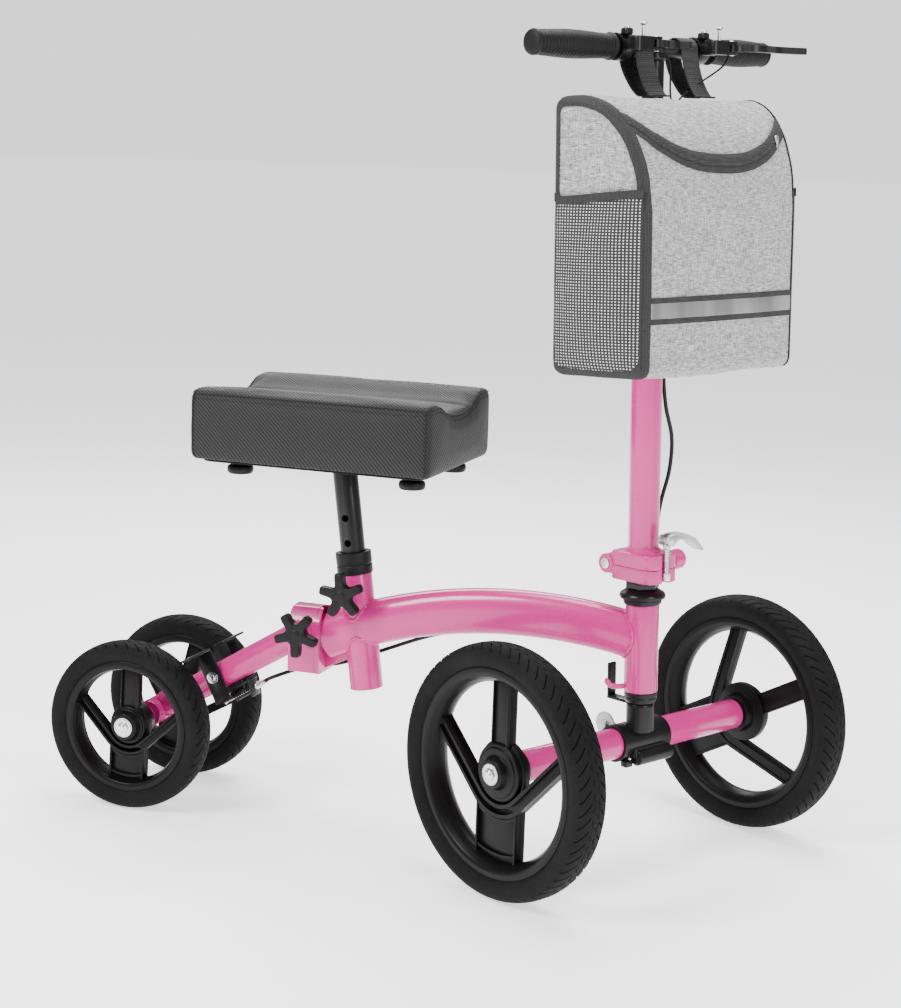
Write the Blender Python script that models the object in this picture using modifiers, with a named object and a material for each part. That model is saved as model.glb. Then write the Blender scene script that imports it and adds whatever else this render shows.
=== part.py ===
"""Knee scooter: a four-wheeled walking aid that is knelt on, with a folding, steerable handlebar.

Metres, +Z up, +X forward, +Y to the rider's left. The origin is on the ground, at the middle of the
bounding box. The steering stands turned to the right, the way the scooter is parked.
"""

import math

import bmesh
import bpy
from mathutils import Vector

# ---------------------------------------------------------------- driving dimensions
WHEELBASE = 0.6572            # rear axle to steering axis, at front axle height
BOX_MIDDLE_X = 0.3880         # from the rear axle to the middle of the bounding box
BOX_MIDDLE_Y = 0.0073
GAP = 0.0003                  # clearance between pieces that touch

STEER_REST = math.radians(-28.9)
HEAD_RAKE = math.radians(1.84)

FRONT_WHEEL_R = 0.152
FRONT_WHEEL_HALF = 0.0235
FRONT_TRACK = 0.4316
FRONT_TRAIL = 0.0151
REAR_WHEEL_R = 0.1104
REAR_WHEEL_HALF = 0.0210
REAR_TRACK = 0.1575
WHEEL_STEPS = 32
HUB_HALF = 0.0185             # hub barrel, each side of the wheel's middle plane
HUB_INNER = 0.0240
AXLE_R = 0.0050

BEAM_APEX_X = 0.515
BEAM_APEX_Z = 0.2975
BEAM_ARC_R = 0.66
BEAM_HALF_HEIGHT = 0.0285
BEAM_HALF_WIDTH = 0.0200
BEAM_WALL = 0.0020
BEAM_REAR_X = 0.2403

HEAD_TUBE_R = 0.0205
HEAD_BORE_R = 0.0165
HEAD_LOW = 0.2178
HEAD_HIGH = 0.3265
STEERER_R = 0.0127

FOLD_PIN_X = -0.0380
FOLD_PIN_Z = 0.3735
FOLD_SPLIT_Z = 0.3735
FOLD_LOW_Z = 0.3565
FOLD_HIGH_Z = 0.3910
FOLD_HALF_WIDTH = 0.0256
FOLD_KNUCKLE_R = 0.0120
FOLD_FRONT_X = 0.0360
FOLD_REAR_X = -0.0300

COLUMN_R = 0.0185
COLUMN_BORE_R = 0.0160
COLUMN_TOP = 0.8000
COLUMN_CAP = 0.8280
STEM_R = 0.0127
STEM_LOW = 0.5500
BAR_Z = 0.9810
BAR_R = 0.0111
BAR_HALF = 0.1900
GRIP_INNER = 0.0720
GRIP_OUTER = 0.1965

SEAT_FOOT_X = 0.3205          # where the seat tube's axis meets the ground
SEAT_RAKE = math.radians(7.6)
SEAT_TUBE_R = 0.0212
SEAT_BORE_R = 0.0162
SEAT_SLEEVE_R = 0.0175
SEAT_TUBE_LOW = 0.1785        # heights along the seat tube's own axis
SEAT_TUBE_HIGH = 0.3275
SEAT_COLLAR_HIGH = 0.3560
POST_R = 0.0157
POST_LOW = 0.2480
POST_HIGH = 0.4680
POST_HOLE_PITCH = 0.0320

PAD_REAR = 0.0990
PAD_FRONT = 0.4120
PAD_HALF = 0.1150
PAD_LOW = 0.4780
PAD_HIGH = 0.5600
BOARD_LOW = 0.4700

REAR_TUBE_R = 0.0175
REAR_TUBE_SLOPE = math.atan2(0.622, 1.0)
CROSS_TUBE_HALF = 0.0300
SOCKET_REAR = 0.1970
SOCKET_LOW = 0.1920
SOCKET_HIGH = 0.2760
SOCKET_HALF = 0.0260

YOKE_X = 0.0905
YOKE_Z = 0.1695
YOKE_TILT = math.radians(-26.2)
CABLE_R = 0.0025

PINK = (0.80, 0.10, 0.36, 1)
BLACK = (0.012, 0.012, 0.013, 1)
CHARCOAL = (0.035, 0.036, 0.038, 1)
GREY = (0.42, 0.42, 0.43, 1)
SILVER = (0.75, 0.75, 0.76, 1)


# ---------------------------------------------------------------- scene helpers
def clear_scene():
    for old in list(bpy.data.objects):
        bpy.data.objects.remove(old)


def new_collection(name, hidden=False):
    made = bpy.data.collections.new(name)
    made.hide_render = hidden
    bpy.context.scene.collection.children.link(made)
    return made


def new_material(name, colour, roughness, metallic=0.0):
    made = bpy.data.materials.new(name)
    made.use_nodes = True
    shader = made.node_tree.nodes["Principled BSDF"]
    shader.inputs["Base Color"].default_value = colour
    shader.inputs["Roughness"].default_value = roughness
    shader.inputs["Metallic"].default_value = metallic
    made.diffuse_color = colour
    return made


def new_empty(name, parent=None, at=(0, 0, 0), turn=(0, 0, 0)):
    made = bpy.data.objects.new(name, None)
    made.empty_display_size = 0.03
    made.parent = parent
    made.location = at
    made.rotation_euler = turn
    PARTS.objects.link(made)
    return made


clear_scene()
PARTS = new_collection("knee_scooter")
CUTTERS = new_collection("cutters", hidden=True)

PAINT = new_material("pink_paint", PINK, 0.25)
BLACK_METAL = new_material("black_painted_metal", BLACK, 0.35)
RIM_PLASTIC = new_material("rim_plastic", BLACK, 0.30)
TYRE_RUBBER = new_material("tyre_rubber", CHARCOAL, 0.80)
GRIP_RUBBER = new_material("grip_rubber", BLACK, 0.60)
KNOB_PLASTIC = new_material("knob_plastic", BLACK, 0.50)
STEEL = new_material("bright_steel", SILVER, 0.25, 1.0)
PAD_COVER = new_material("pad_cover", CHARCOAL, 0.75)
BAG_CLOTH = new_material("bag_cloth", GREY, 0.90)
WEBBING = new_material("webbing", BLACK, 0.85)
CABLE_SKIN = new_material("cable_sheath", BLACK, 0.45)


# ---------------------------------------------------------------- shape helpers
def place(obj, parent, at=(0, 0, 0), turn=(0, 0, 0), material=None, smooth=True):
    """Links an object as a part, or as a cutter where it gets no material."""
    obj.parent = parent
    obj.location = at
    obj.rotation_euler = turn
    if material is None:
        CUTTERS.objects.link(obj)
        obj.hide_render = True
        obj.display_type = "WIRE"
        return obj
    PARTS.objects.link(obj)
    obj.data.materials.append(material)
    if smooth and obj.type == "MESH":
        obj.data.shade_smooth()
        obj.data.set_sharp_from_angle(angle=math.radians(35))
    return obj


def mesh_object(name, bm):
    mesh = bpy.data.meshes.new(name)
    bm.to_mesh(mesh)
    bm.free()
    return bpy.data.objects.new(name, mesh)


def box(name, size, parent, at=(0, 0, 0), turn=(0, 0, 0), material=None, bevel=0.0):
    bm = bmesh.new()
    bmesh.ops.create_cube(bm, size=1)
    bmesh.ops.scale(bm, vec=size, verts=bm.verts)
    obj = place(mesh_object(name, bm), parent, at, turn, material, smooth=False)
    if bevel:
        edge = obj.modifiers.new("edge", "BEVEL")
        edge.width = bevel
        edge.segments = 1
    return obj


def rod(name, radius, length, parent, at=(0, 0, 0), turn=(0, 0, 0), material=None, steps=24):
    """A solid cylinder along its own Z, centred on its place."""
    bm = bmesh.new()
    bmesh.ops.create_cone(
        bm, cap_ends=True, segments=steps, radius1=radius, radius2=radius, depth=length
    )
    return place(mesh_object(name, bm), parent, at, turn, material)


def turned(name, profile, parent, at=(0, 0, 0), turn=(0, 0, 0), material=None, steps=24, ring=True):
    """Turns (radius, height) points about Z. They run down the outer side, top to bottom."""
    bm = bmesh.new()
    points = [bm.verts.new((radius, 0, height)) for radius, height in profile]
    for first, second in zip(points, points[1:]):
        bm.edges.new((first, second))
    if ring:
        bm.edges.new((points[-1], points[0]))
    obj = place(mesh_object(name, bm), parent, at, turn, material)
    screw = obj.modifiers.new("turn", "SCREW")
    screw.steps = steps
    screw.render_steps = steps
    screw.use_merge_vertices = True
    screw.merge_threshold = 0.00005
    screw.use_smooth_shade = False
    return obj


def tube(name, outer, inner, low, high, parent, at=(0, 0, 0), turn=(0, 0, 0), material=None, steps=24):
    profile = [(outer, high), (outer, low), (inner, low), (inner, high)]
    return turned(name, profile, parent, at, turn, material, steps)


def as_mesh(curve_object):
    """Turns a curve object into a mesh object at the same place, with its caps welded."""
    bpy.context.view_layer.update()
    graph = bpy.context.evaluated_depsgraph_get()
    mesh = bpy.data.meshes.new_from_object(curve_object.evaluated_get(graph))
    bm = bmesh.new()
    bm.from_mesh(mesh)
    bmesh.ops.remove_doubles(bm, verts=bm.verts, dist=0.00002)
    bmesh.ops.recalc_face_normals(bm, faces=bm.faces)
    bm.to_mesh(mesh)
    bm.free()
    name = curve_object.name
    bpy.data.objects.remove(curve_object)
    mesh.name = name
    return bpy.data.objects.new(name, mesh)


def outline(name, points, thickness, parent, at=(0, 0, 0), turn=(0, 0, 0), material=None):
    """A flat outline in its own XY plane, thickened both ways along Z."""
    curve = bpy.data.curves.new(name, "CURVE")
    curve.dimensions = "2D"
    curve.fill_mode = "BOTH"
    curve.extrude = thickness / 2
    spline = curve.splines.new("POLY")
    spline.points.add(len(points) - 1)
    for target, (x, y) in zip(spline.points, points):
        target.co = (x, y, 0, 1)
    spline.use_cyclic_u = True
    source = bpy.data.objects.new(name, curve)
    bpy.context.scene.collection.objects.link(source)
    made = as_mesh(source)
    made.name = name
    return place(made, parent, at, turn, material)


def wire(name, points, radius, parent, at=(0, 0, 0), turn=(0, 0, 0), material=None, sides=2):
    """A round wire along a list of points."""
    curve = bpy.data.curves.new(name, "CURVE")
    curve.dimensions = "3D"
    curve.bevel_depth = radius
    curve.bevel_resolution = sides
    curve.use_fill_caps = True
    spline = curve.splines.new("POLY")
    spline.points.add(len(points) - 1)
    for target, point in zip(spline.points, points):
        target.co = (*point, 1)
    obj = bpy.data.objects.new(name, curve)
    return place(obj, parent, at, turn, material)


def smooth_path(points, count):
    """Points at even steps along a Catmull-Rom curve through the route's own points."""
    route = [Vector(point) for point in points]
    ends = [2 * route[0] - route[1]] + route + [2 * route[-1] - route[-2]]
    made = []
    for step in range(count):
        place_on = step / (count - 1) * (len(route) - 1)
        span = min(int(place_on), len(route) - 2)
        t = place_on - span
        a, b, c, d = ends[span : span + 4]
        made.append(
            0.5 * (2 * b + (c - a) * t + (2 * a - 5 * b + 4 * c - d) * t**2 + (3 * b - 3 * c + d - a) * t**3)
        )
    return made


def boolean(obj, other, operation):
    made = obj.modifiers.new(operation.lower(), "BOOLEAN")
    made.operation = operation
    made.object = other
    made.solver = "EXACT"
    return obj


def cut(obj, *others):
    for other in others:
        boolean(obj, other, "DIFFERENCE")
    return obj


def join(obj, *others):
    for other in others:
        boolean(obj, other, "UNION")
    return obj


ALONG_X = (0, math.radians(90), 0)
TO_RIGHT = (math.radians(90), 0, 0)      # own Z points to -Y
TO_LEFT = (math.radians(-90), 0, 0)      # own Z points to +Y

# ---------------------------------------------------------------- joint empties
SCOOTER = new_empty("scooter", at=(-BOX_MIDDLE_X, -BOX_MIDDLE_Y, 0))
HEAD_FOOT_X = WHEELBASE + FRONT_WHEEL_R * math.tan(HEAD_RAKE)
HEAD = new_empty("head_axis", SCOOTER, (HEAD_FOOT_X, 0, 0), (0, -HEAD_RAKE, 0))
STEERING = new_empty("steering_axis", HEAD, turn=(0, 0, STEER_REST))
FRONT_AXLE = new_empty(
    "front_axle_axis",
    SCOOTER,
    (
        WHEELBASE - FRONT_TRAIL * math.cos(STEER_REST),
        -FRONT_TRAIL * math.sin(STEER_REST),
        FRONT_WHEEL_R,
    ),
    (0, 0, STEER_REST),
)
REAR_AXLE = new_empty("rear_axle_axis", SCOOTER, (0, 0, REAR_WHEEL_R))
FOLD = new_empty("fold_axis", STEERING, (FOLD_PIN_X, 0, FOLD_PIN_Z))
SEAT = new_empty("seat_axis", SCOOTER, (SEAT_FOOT_X, 0, 0), (0, -SEAT_RAKE, 0))
YOKE = new_empty("brake_axis", SCOOTER, (YOKE_X, 0, YOKE_Z), (0, YOKE_TILT, 0))
REAR_TUBE = new_empty("rear_tube_axis", REAR_AXLE, turn=(0, math.pi / 2 - REAR_TUBE_SLOPE, 0))


# ---------------------------------------------------------------- wheels
ARM_INNER = 0.2200
ARM_OUTER = 0.3550

def wheel(where, parent, side, radius, half, sidewall, spin, turn_side):
    """A tyre on a spoked rim. Own +Z is the wheel's outer face."""
    axis = new_empty(f"{where}_wheel_axis", parent, (0, side, 0), turn_side)
    half_step = math.pi / WHEEL_STEPS
    flat = 1 / math.cos(half_step)
    on_ground = (0, 0, half_step)
    seat = radius - sidewall
    tyre_side = [
        (seat, half * 0.76),
        (seat + sidewall * 0.35, half),
        (radius - sidewall * 0.20, half * 0.86),
        (radius, 0.006),
    ]
    mirrored = [(r, -z) for r, z in reversed(tyre_side)]
    profile = [(r * flat, z) for r, z in tyre_side + mirrored]
    turned(f"{where}_tyre", profile, axis, turn=on_ground, material=TYRE_RUBBER, steps=WHEEL_STEPS)

    band = seat - GAP
    face = half * 0.76
    inner = seat - sidewall * 0.70
    rim_profile = [
        (band * flat, face),
        (band * flat, -face),
        (inner, -face * 0.7),
        (inner, face * 0.7),
    ]
    rim = turned(
        f"{where}_rim", rim_profile, axis, turn=on_ground, material=RIM_PLASTIC, steps=WHEEL_STEPS
    )
    hub_r = radius * 0.20 + 0.0045
    boss_r = 0.0200
    hub_profile = [
        (boss_r, HUB_HALF),
        (boss_r, 0.0110),
        (hub_r, 0.0090),
        (hub_r, -0.0110),
        (boss_r + 0.003, -0.0120),
        (boss_r + 0.003, -HUB_INNER),
        (AXLE_R + GAP, -HUB_INNER),
        (AXLE_R + GAP, HUB_HALF),
    ]
    hub = turned(f"{where}_hub_shape", hub_profile, axis, steps=24)
    reach = inner + 0.004
    start = hub_r - 0.006
    shapes = [hub]
    for angle, width in ((0, 0.447 * radius), (180, 0.158 * radius)):
        direction = spin + math.radians(angle)
        middle = (start + reach) / 2
        shapes.append(
            box(
                f"{where}_spoke_{angle}",
                (reach - start, width, 0.0150),
                axis,
                (middle * math.cos(direction), middle * math.sin(direction), 0.0),
                (0, 0, direction),
            )
        )
    # The two channel arms bend round the hub's wide side and run straight to the rim.
    arms = []
    for arc, order in ((ARM_OUTER * radius, 1), (ARM_INNER * radius, -1)):
        bend = [(arc * math.cos(math.radians(a)), arc * math.sin(math.radians(a))) for a in range(-45, 46, 15)]
        run = math.sqrt(reach**2 - arc**2)
        slope = math.sqrt(0.5)
        tips = [(slope * (arc - run), side * slope * (arc + run)) for side in (-1, 1)]
        arms += ([tips[0]] + bend + [tips[1]])[::order]
    shapes.append(outline(f"{where}_arms", arms, 0.0148, axis, turn=(0, 0, spin)))
    join(rim, *shapes)

    return axis


HALF_TRACK = FRONT_TRACK / 2
wheel("front_right", FRONT_AXLE, -HALF_TRACK, FRONT_WHEEL_R, FRONT_WHEEL_HALF, 0.027,
      math.radians(-90), TO_RIGHT)
wheel("front_left", FRONT_AXLE, HALF_TRACK, FRONT_WHEEL_R, FRONT_WHEEL_HALF, 0.027,
      math.radians(151), TO_LEFT)
wheel("rear_right", REAR_AXLE, -REAR_TRACK / 2, REAR_WHEEL_R, REAR_WHEEL_HALF, 0.024,
      math.radians(-92), TO_RIGHT)
wheel("rear_left", REAR_AXLE, REAR_TRACK / 2, REAR_WHEEL_R, REAR_WHEEL_HALF, 0.024,
      math.radians(105), TO_LEFT)


def through_bolt(name, parent, shank, half, head, turn=TO_LEFT, at=(0, 0, 0), steps=14):
    """A bolt with its cap nut: head is a list of (radius, height beyond the clamped face)."""
    right = [(radius, -half - height) for radius, height in reversed(head)]
    profile = [(radius, half + height) for radius, height in head]
    profile += [(shank, half + GAP), (shank, -half - GAP)] + right
    return turned(name, profile, parent, at, turn, STEEL, steps, ring=False)


CAP_NUT = [(0, 0.0075), (0.0062, 0.0070), (0.0078, 0.0052), (0.0078, 0.0022), (0.0108, 0.0020),
           (0.0108, GAP)]
through_bolt("front_axle", FRONT_AXLE, AXLE_R, FRONT_TRACK / 2 + HUB_HALF, CAP_NUT)
through_bolt("rear_axle", REAR_AXLE, AXLE_R, REAR_TRACK / 2 + HUB_HALF, CAP_NUT)

# ---------------------------------------------------------------- front axle and fork
AXLE_TUBE_R = 0.0190
AXLE_TUBE_HALF = FRONT_TRACK / 2 - HUB_INNER - 0.0010
CLAMP_R = 0.0228
CLAMP_RIGHT = -0.0390
CLAMP_LEFT = 0.0430
def closed_tube(name, parent, outer, bore, half, end_wall, material, neck=None):
    """A tube with a bored plug in each end. The neck, if any, is (radius, length) beyond the ends."""
    side = [(outer, half), (AXLE_R + GAP, half)]
    if neck:
        side = [(neck[0], half + neck[1]), (neck[0], half), (outer, half)]
        side += [(AXLE_R + GAP, half + neck[1])]
    inner = [(AXLE_R + GAP, half - end_wall), (bore, half - end_wall - 0.002)]
    outside = [point for point in side if point[0] != AXLE_R + GAP]
    opening = [point for point in side if point[0] == AXLE_R + GAP]
    profile = outside + [(r, -z) for r, z in reversed(outside)]
    profile += [(r, -z) for r, z in opening + inner]
    profile += [(r, z) for r, z in reversed(opening + inner)]
    return turned(name, profile, parent, turn=TO_LEFT, material=material, steps=24)


closed_tube("front_axle_tube", FRONT_AXLE, AXLE_TUBE_R, 0.0160, AXLE_TUBE_HALF, 0.012, PAINT)
axle_clamp = tube("axle_clamp", CLAMP_R, AXLE_TUBE_R + GAP, CLAMP_RIGHT, CLAMP_LEFT, FRONT_AXLE,
                  turn=TO_LEFT, material=BLACK_METAL)
DAMPER_X = 0.0250
DAMPER_Z = -0.0150
join(
    axle_clamp,
    cut(
        box("clamp_web", (0.014, 0.050, 0.012), FRONT_AXLE, (0.0215, 0.002, -0.0115)),
        rod("clamp_web_bore", AXLE_TUBE_R + GAP, 0.09, FRONT_AXLE, turn=TO_LEFT, steps=24),
    ),
    rod("clamp_boss", 0.0095, 0.0600, FRONT_AXLE, (DAMPER_X, 0.004, DAMPER_Z), TO_LEFT),
)

UPRIGHT_TOP = 0.2035
upright_profile = [
    (0, FOLD_LOW_Z - GAP),
    (STEERER_R, FOLD_LOW_Z - GAP),
    (STEERER_R, UPRIGHT_TOP),
    (0.0165, UPRIGHT_TOP - 0.0010),
    (0.0165, 0.1600),
    (0, 0.1600),
]
fork_upright = turned("steerer", upright_profile, STEERING, material=BLACK_METAL, ring=False, steps=24)
cut(fork_upright, rod("clamp_envelope", CLAMP_R + GAP, 0.12, FRONT_AXLE, turn=TO_LEFT, steps=24))

stop_arm = box("steering_stop_tab", (0.0320, 0.0120, 0.0030), STEERING, (-0.0335, 0, 0.2015),
               material=BLACK_METAL)
join(stop_arm, box("stop_tab_upright", (0.0030, 0.0120, 0.0480), STEERING, (-0.0485, 0, 0.2240)))

# ---------------------------------------------------------------- headset and head tube
head_tube = tube("head_tube", HEAD_TUBE_R, HEAD_BORE_R, HEAD_LOW, HEAD_HIGH, HEAD, material=PAINT)
lower_cup = [(0.0200, HEAD_LOW - GAP), (0.0200, 0.2095), (0.0185, 0.2045), (0.0131, 0.2045),
             (0.0131, HEAD_LOW - GAP)]
turned("lower_headset_cup", lower_cup, HEAD, material=BLACK_METAL, steps=24)
upper_cup = [(0.0235, 0.3330), (0.0225, HEAD_HIGH + GAP), (0.0131, HEAD_HIGH + GAP), (0.0131, 0.3330)]
turned("upper_headset_cup", upper_cup, HEAD, material=BLACK_METAL, steps=24)
dust_cover = [(0.0185, 0.3455), (0.0225, 0.3430), (0.0275, 0.3395), (0.0280, 0.3365), (0.0265, 0.3335),
              (0.0131, 0.3335), (0.0131, 0.3455)]
headset_nut = turned("headset_nut", dust_cover, STEERING, material=BLACK_METAL, steps=24)
join(headset_nut, rod("headset_hexagon", 0.0212, 0.0110, STEERING, (0, 0, 0.3495), steps=6))
cut(headset_nut, rod("headset_nut_bore", STEERER_R + GAP, 0.05, STEERING, (0, 0, 0.345), steps=24))

hook_points = smooth_path(
    [(-0.0185, -0.0085, 0.2240), (-0.0260, -0.0125, 0.2240), (-0.0325, -0.0160, 0.2255),
     (-0.0375, -0.0190, 0.2300)],
    7,
)
hook = as_mesh(wire("hook_wire", hook_points, 0.0035, None, material=PAINT))
hook.name = "steering_hook"
place(hook, HEAD, material=PAINT)
cut(hook, rod("hook_cut", HEAD_TUBE_R + GAP, 0.06, HEAD, (0, 0, 0.225), steps=24))


# ---------------------------------------------------------------- main beam and sockets
def beam_height(x):
    return BEAM_APEX_Z - (BEAM_ARC_R - math.sqrt(BEAM_ARC_R**2 - (x - BEAM_APEX_X) ** 2))


def beam_shell(name, half_height, half_width, first, last, steps, material=None):
    """A swept oval, closed at both ends, that follows the beam's arc."""
    bm = bmesh.new()
    rings = []
    sides = 16
    for step in range(steps + 1):
        x = first + (last - first) * step / steps
        slope = math.asin((BEAM_APEX_X - x) / BEAM_ARC_R)
        ring = []
        for side in range(sides):
            angle = 2 * math.pi * side / sides
            wide = math.copysign(abs(math.cos(angle)) ** 0.80, math.cos(angle))
            tall = math.copysign(abs(math.sin(angle)) ** 0.80, math.sin(angle))
            up = half_height * tall
            ring.append(
                bm.verts.new((x - up * math.sin(slope), half_width * wide, beam_height(x) + up * math.cos(slope)))
            )
        rings.append(ring)
    for near, far in zip(rings, rings[1:]):
        for side in range(sides):
            after = (side + 1) % sides
            bm.faces.new((near[side], near[after], far[after], far[side]))
    bm.faces.new(rings[0])
    bm.faces.new(rings[-1])
    bmesh.ops.recalc_face_normals(bm, faces=bm.faces)
    return place(mesh_object(name, bm), SCOOTER, material=material)


main_beam = beam_shell("main_beam", BEAM_HALF_HEIGHT, BEAM_HALF_WIDTH, 0.215, WHEELBASE, 12, PAINT)
cut(
    main_beam,
    beam_shell("beam_hollow", BEAM_HALF_HEIGHT - BEAM_WALL, BEAM_HALF_WIDTH - BEAM_WALL, 0.205,
               WHEELBASE + 0.02, 12),
    box("beam_rear_cut", (0.10, 0.10, 0.20), SCOOTER, (BEAM_REAR_X - 0.05, 0, 0.24)),
    rod("beam_head_cut", HEAD_TUBE_R + GAP, 0.20, HEAD, (0, 0, 0.28), steps=24),
    box("beam_front_cut", (0.06, 0.10, 0.20), SCOOTER, (WHEELBASE + 0.03, 0, 0.28)),
    rod("beam_seat_cut", SEAT_SLEEVE_R + GAP, 0.20, SEAT, (0, 0, 0.26), steps=24),
)

rear_socket = box(
    "rear_socket",
    (BEAM_REAR_X - GAP - SOCKET_REAR, 2 * SOCKET_HALF, SOCKET_HIGH - SOCKET_LOW),
    SCOOTER,
    ((BEAM_REAR_X - GAP + SOCKET_REAR) / 2, 0, (SOCKET_LOW + SOCKET_HIGH) / 2),
    material=PAINT,
    bevel=0.004,
)
cut(rear_socket, rod("socket_bore", REAR_TUBE_R + GAP, 0.16, REAR_TUBE, (0, 0, 0.255), steps=24))

seat_tube = rod("seat_tube", SEAT_TUBE_R, SEAT_TUBE_HIGH - SEAT_TUBE_LOW, SEAT,
                (0, 0, (SEAT_TUBE_HIGH + SEAT_TUBE_LOW) / 2), material=PAINT, steps=24)
cut(seat_tube, beam_shell("beam_envelope", BEAM_HALF_HEIGHT + GAP, BEAM_HALF_WIDTH + 0.02, 0.21, 0.40, 8))
join(seat_tube, rod("seat_sleeve", SEAT_SLEEVE_R, 0.130, SEAT, (0, 0, 0.252), steps=24))
cut(seat_tube, rod("seat_tube_bore", SEAT_BORE_R, 0.30, SEAT, (0, 0, 0.25), steps=24))
tube("seat_collar", 0.0228, SEAT_BORE_R, SEAT_TUBE_HIGH + GAP, SEAT_COLLAR_HIGH, SEAT,
     material=KNOB_PLASTIC, steps=24)

# ---------------------------------------------------------------- rear tube and axle
REAR_TUBE_END = 0.2650
rear_tube = tube("rear_tube", REAR_TUBE_R, 0.0150, 0.004, REAR_TUBE_END, REAR_TUBE, material=PAINT)
cut(
    rear_tube,
    rod("rear_tube_cut", REAR_TUBE_R + GAP, 0.10, REAR_AXLE, turn=TO_LEFT, steps=24),
    rod("brake_bolt_hole", 0.0043, 0.10, YOKE, turn=TO_LEFT, steps=16),
    box("rear_tube_front_cut", (0.06, 0.10, 0.10), SCOOTER, (BEAM_REAR_X - 0.004 + 0.03, 0, 0.262)),
)
SPACER_LENGTH = REAR_TRACK / 2 - HUB_INNER - 0.0005 - CROSS_TUBE_HALF
closed_tube("rear_cross_tube", REAR_AXLE, REAR_TUBE_R, 0.0140, CROSS_TUBE_HALF, 0.008, PAINT,
            neck=(0.0100, SPACER_LENGTH))

# ---------------------------------------------------------------- rear brake
PLATE_IN = 0.0205
PLATE_OUT = 0.0235
yoke = box("brake_yoke", (0.0240, 2 * PLATE_OUT, 0.0030), YOKE, (0.0005, 0, -0.0335),
           material=BLACK_METAL)
for side in (-1, 1):
    middle = side * (PLATE_IN + PLATE_OUT) / 2
    join(
        yoke,
        box(f"yoke_plate_{side}", (0.0240, PLATE_OUT - PLATE_IN, 0.0725), YOKE, (0.0005, middle, 0.00125)),
        box(f"yoke_wing_{side}", (0.0185, 0.0600, 0.0030), YOKE, (0.00325, side * 0.0510, 0.0360)),
    )
cut(yoke, rod("yoke_bolt_hole", 0.0043, 0.08, YOKE, turn=TO_LEFT, steps=16),
    rod("yoke_wire_hole", 0.0030, 0.02, YOKE, (0.0, 0, -0.0335), steps=12))
PIVOT_HEAD = [(0, 0.0038), (0.0066, 0.0034), (0.0078, 0.0010), (0.0078, GAP)]
through_bolt("brake_pivot_bolt", YOKE, 0.0040, PLATE_OUT, PIVOT_HEAD)

STOP_X = 0.1380
STOP_Z = 0.1640
stop = box("cable_stop", (0.0300, 0.0240, 0.0030), SCOOTER, (0.1245, 0, 0.1610), (0, math.radians(-31.9), 0),
           material=BLACK_METAL)
join(stop, box("cable_stop_flange", (0.0030, 0.0240, 0.0260), SCOOTER, (STOP_X, 0, STOP_Z - 0.0050),
               (0, math.radians(-20), 0)))
WIRE_DROP = math.radians(33)
wire_axis = new_empty("brake_wire_axis", SCOOTER, (STOP_X, 0, STOP_Z - 0.0080),
                      (0, math.pi / 2 - WIRE_DROP, 0))
cut(stop, rod("cable_stop_hole", 0.0035, 0.02, wire_axis, steps=16))
turned("barrel_adjuster", [(0.0030, 0.0180), (0.0045, 0.0160), (0.0045, 0.0050), (0.0012, 0.0050),
                           (0.0012, 0.0180)], wire_axis, material=STEEL, steps=16)

# ---------------------------------------------------------------- star knobs
KNOB_STEPS = 35


def star_knob(name, parent, at, turn, lobe_up, stem_length):
    """A five-lobed hand knob on a threaded stem. Own +Z is the stem, towards the clamped part."""
    bm = bmesh.new()
    rings = []
    for height, inset in ((-0.0070, 0.0022), (-0.0048, 0.0), (0.0048, 0.0), (0.0070, 0.0022)):
        ring = []
        for step in range(KNOB_STEPS):
            angle = 2 * math.pi * step / KNOB_STEPS
            lobe = 0.5 + 0.5 * math.cos(5 * angle)
            reach = 0.0130 + 0.0165 * lobe**1.2 - inset
            ring.append(bm.verts.new((reach * math.cos(angle + lobe_up), reach * math.sin(angle + lobe_up), height)))
        rings.append(ring)
    for low, high in zip(rings, rings[1:]):
        for step in range(KNOB_STEPS):
            after = (step + 1) % KNOB_STEPS
            bm.faces.new((low[step], low[after], high[after], high[step]))
    bm.faces.new(rings[0][::-1])
    bm.faces.new(rings[-1])
    knob = place(mesh_object(name, bm), parent, at, turn, KNOB_PLASTIC)
    forward = Vector((0, 0, 1))
    forward.rotate(knob.rotation_euler)
    collar_at = Vector(at) + forward * 0.0100
    stem_at = Vector(at) + forward * (0.0070 + stem_length / 2)
    join(
        knob,
        rod(f"{name}_collar", 0.0090, 0.0080, parent, collar_at, turn, steps=20),
        rod(f"{name}_stem", 0.0040, stem_length, parent, stem_at, turn, steps=12),
    )
    return knob


KNOB_OUT = 0.0500
SEAT_KNOB_Z = 0.3080
ROUND_HOLE = 0.0043
star_knob("seat_height_knob", SEAT, (0, -KNOB_OUT, SEAT_KNOB_Z), TO_LEFT, math.radians(-90), 0.0255)
cut(seat_tube, rod("seat_knob_hole", ROUND_HOLE, 0.04, SEAT, (0, -0.03, SEAT_KNOB_Z), TO_LEFT, steps=10))
SOCKET_KNOB = (0.2200, -0.0520, 0.2490)
star_knob("rear_socket_knob", SCOOTER, SOCKET_KNOB, TO_LEFT, math.radians(90), 0.0265)
cut(rear_socket, rod("socket_knob_hole", ROUND_HOLE, 0.04, SCOOTER, (0.2200, -0.03, 0.2490), TO_LEFT,
                     steps=12))

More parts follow.
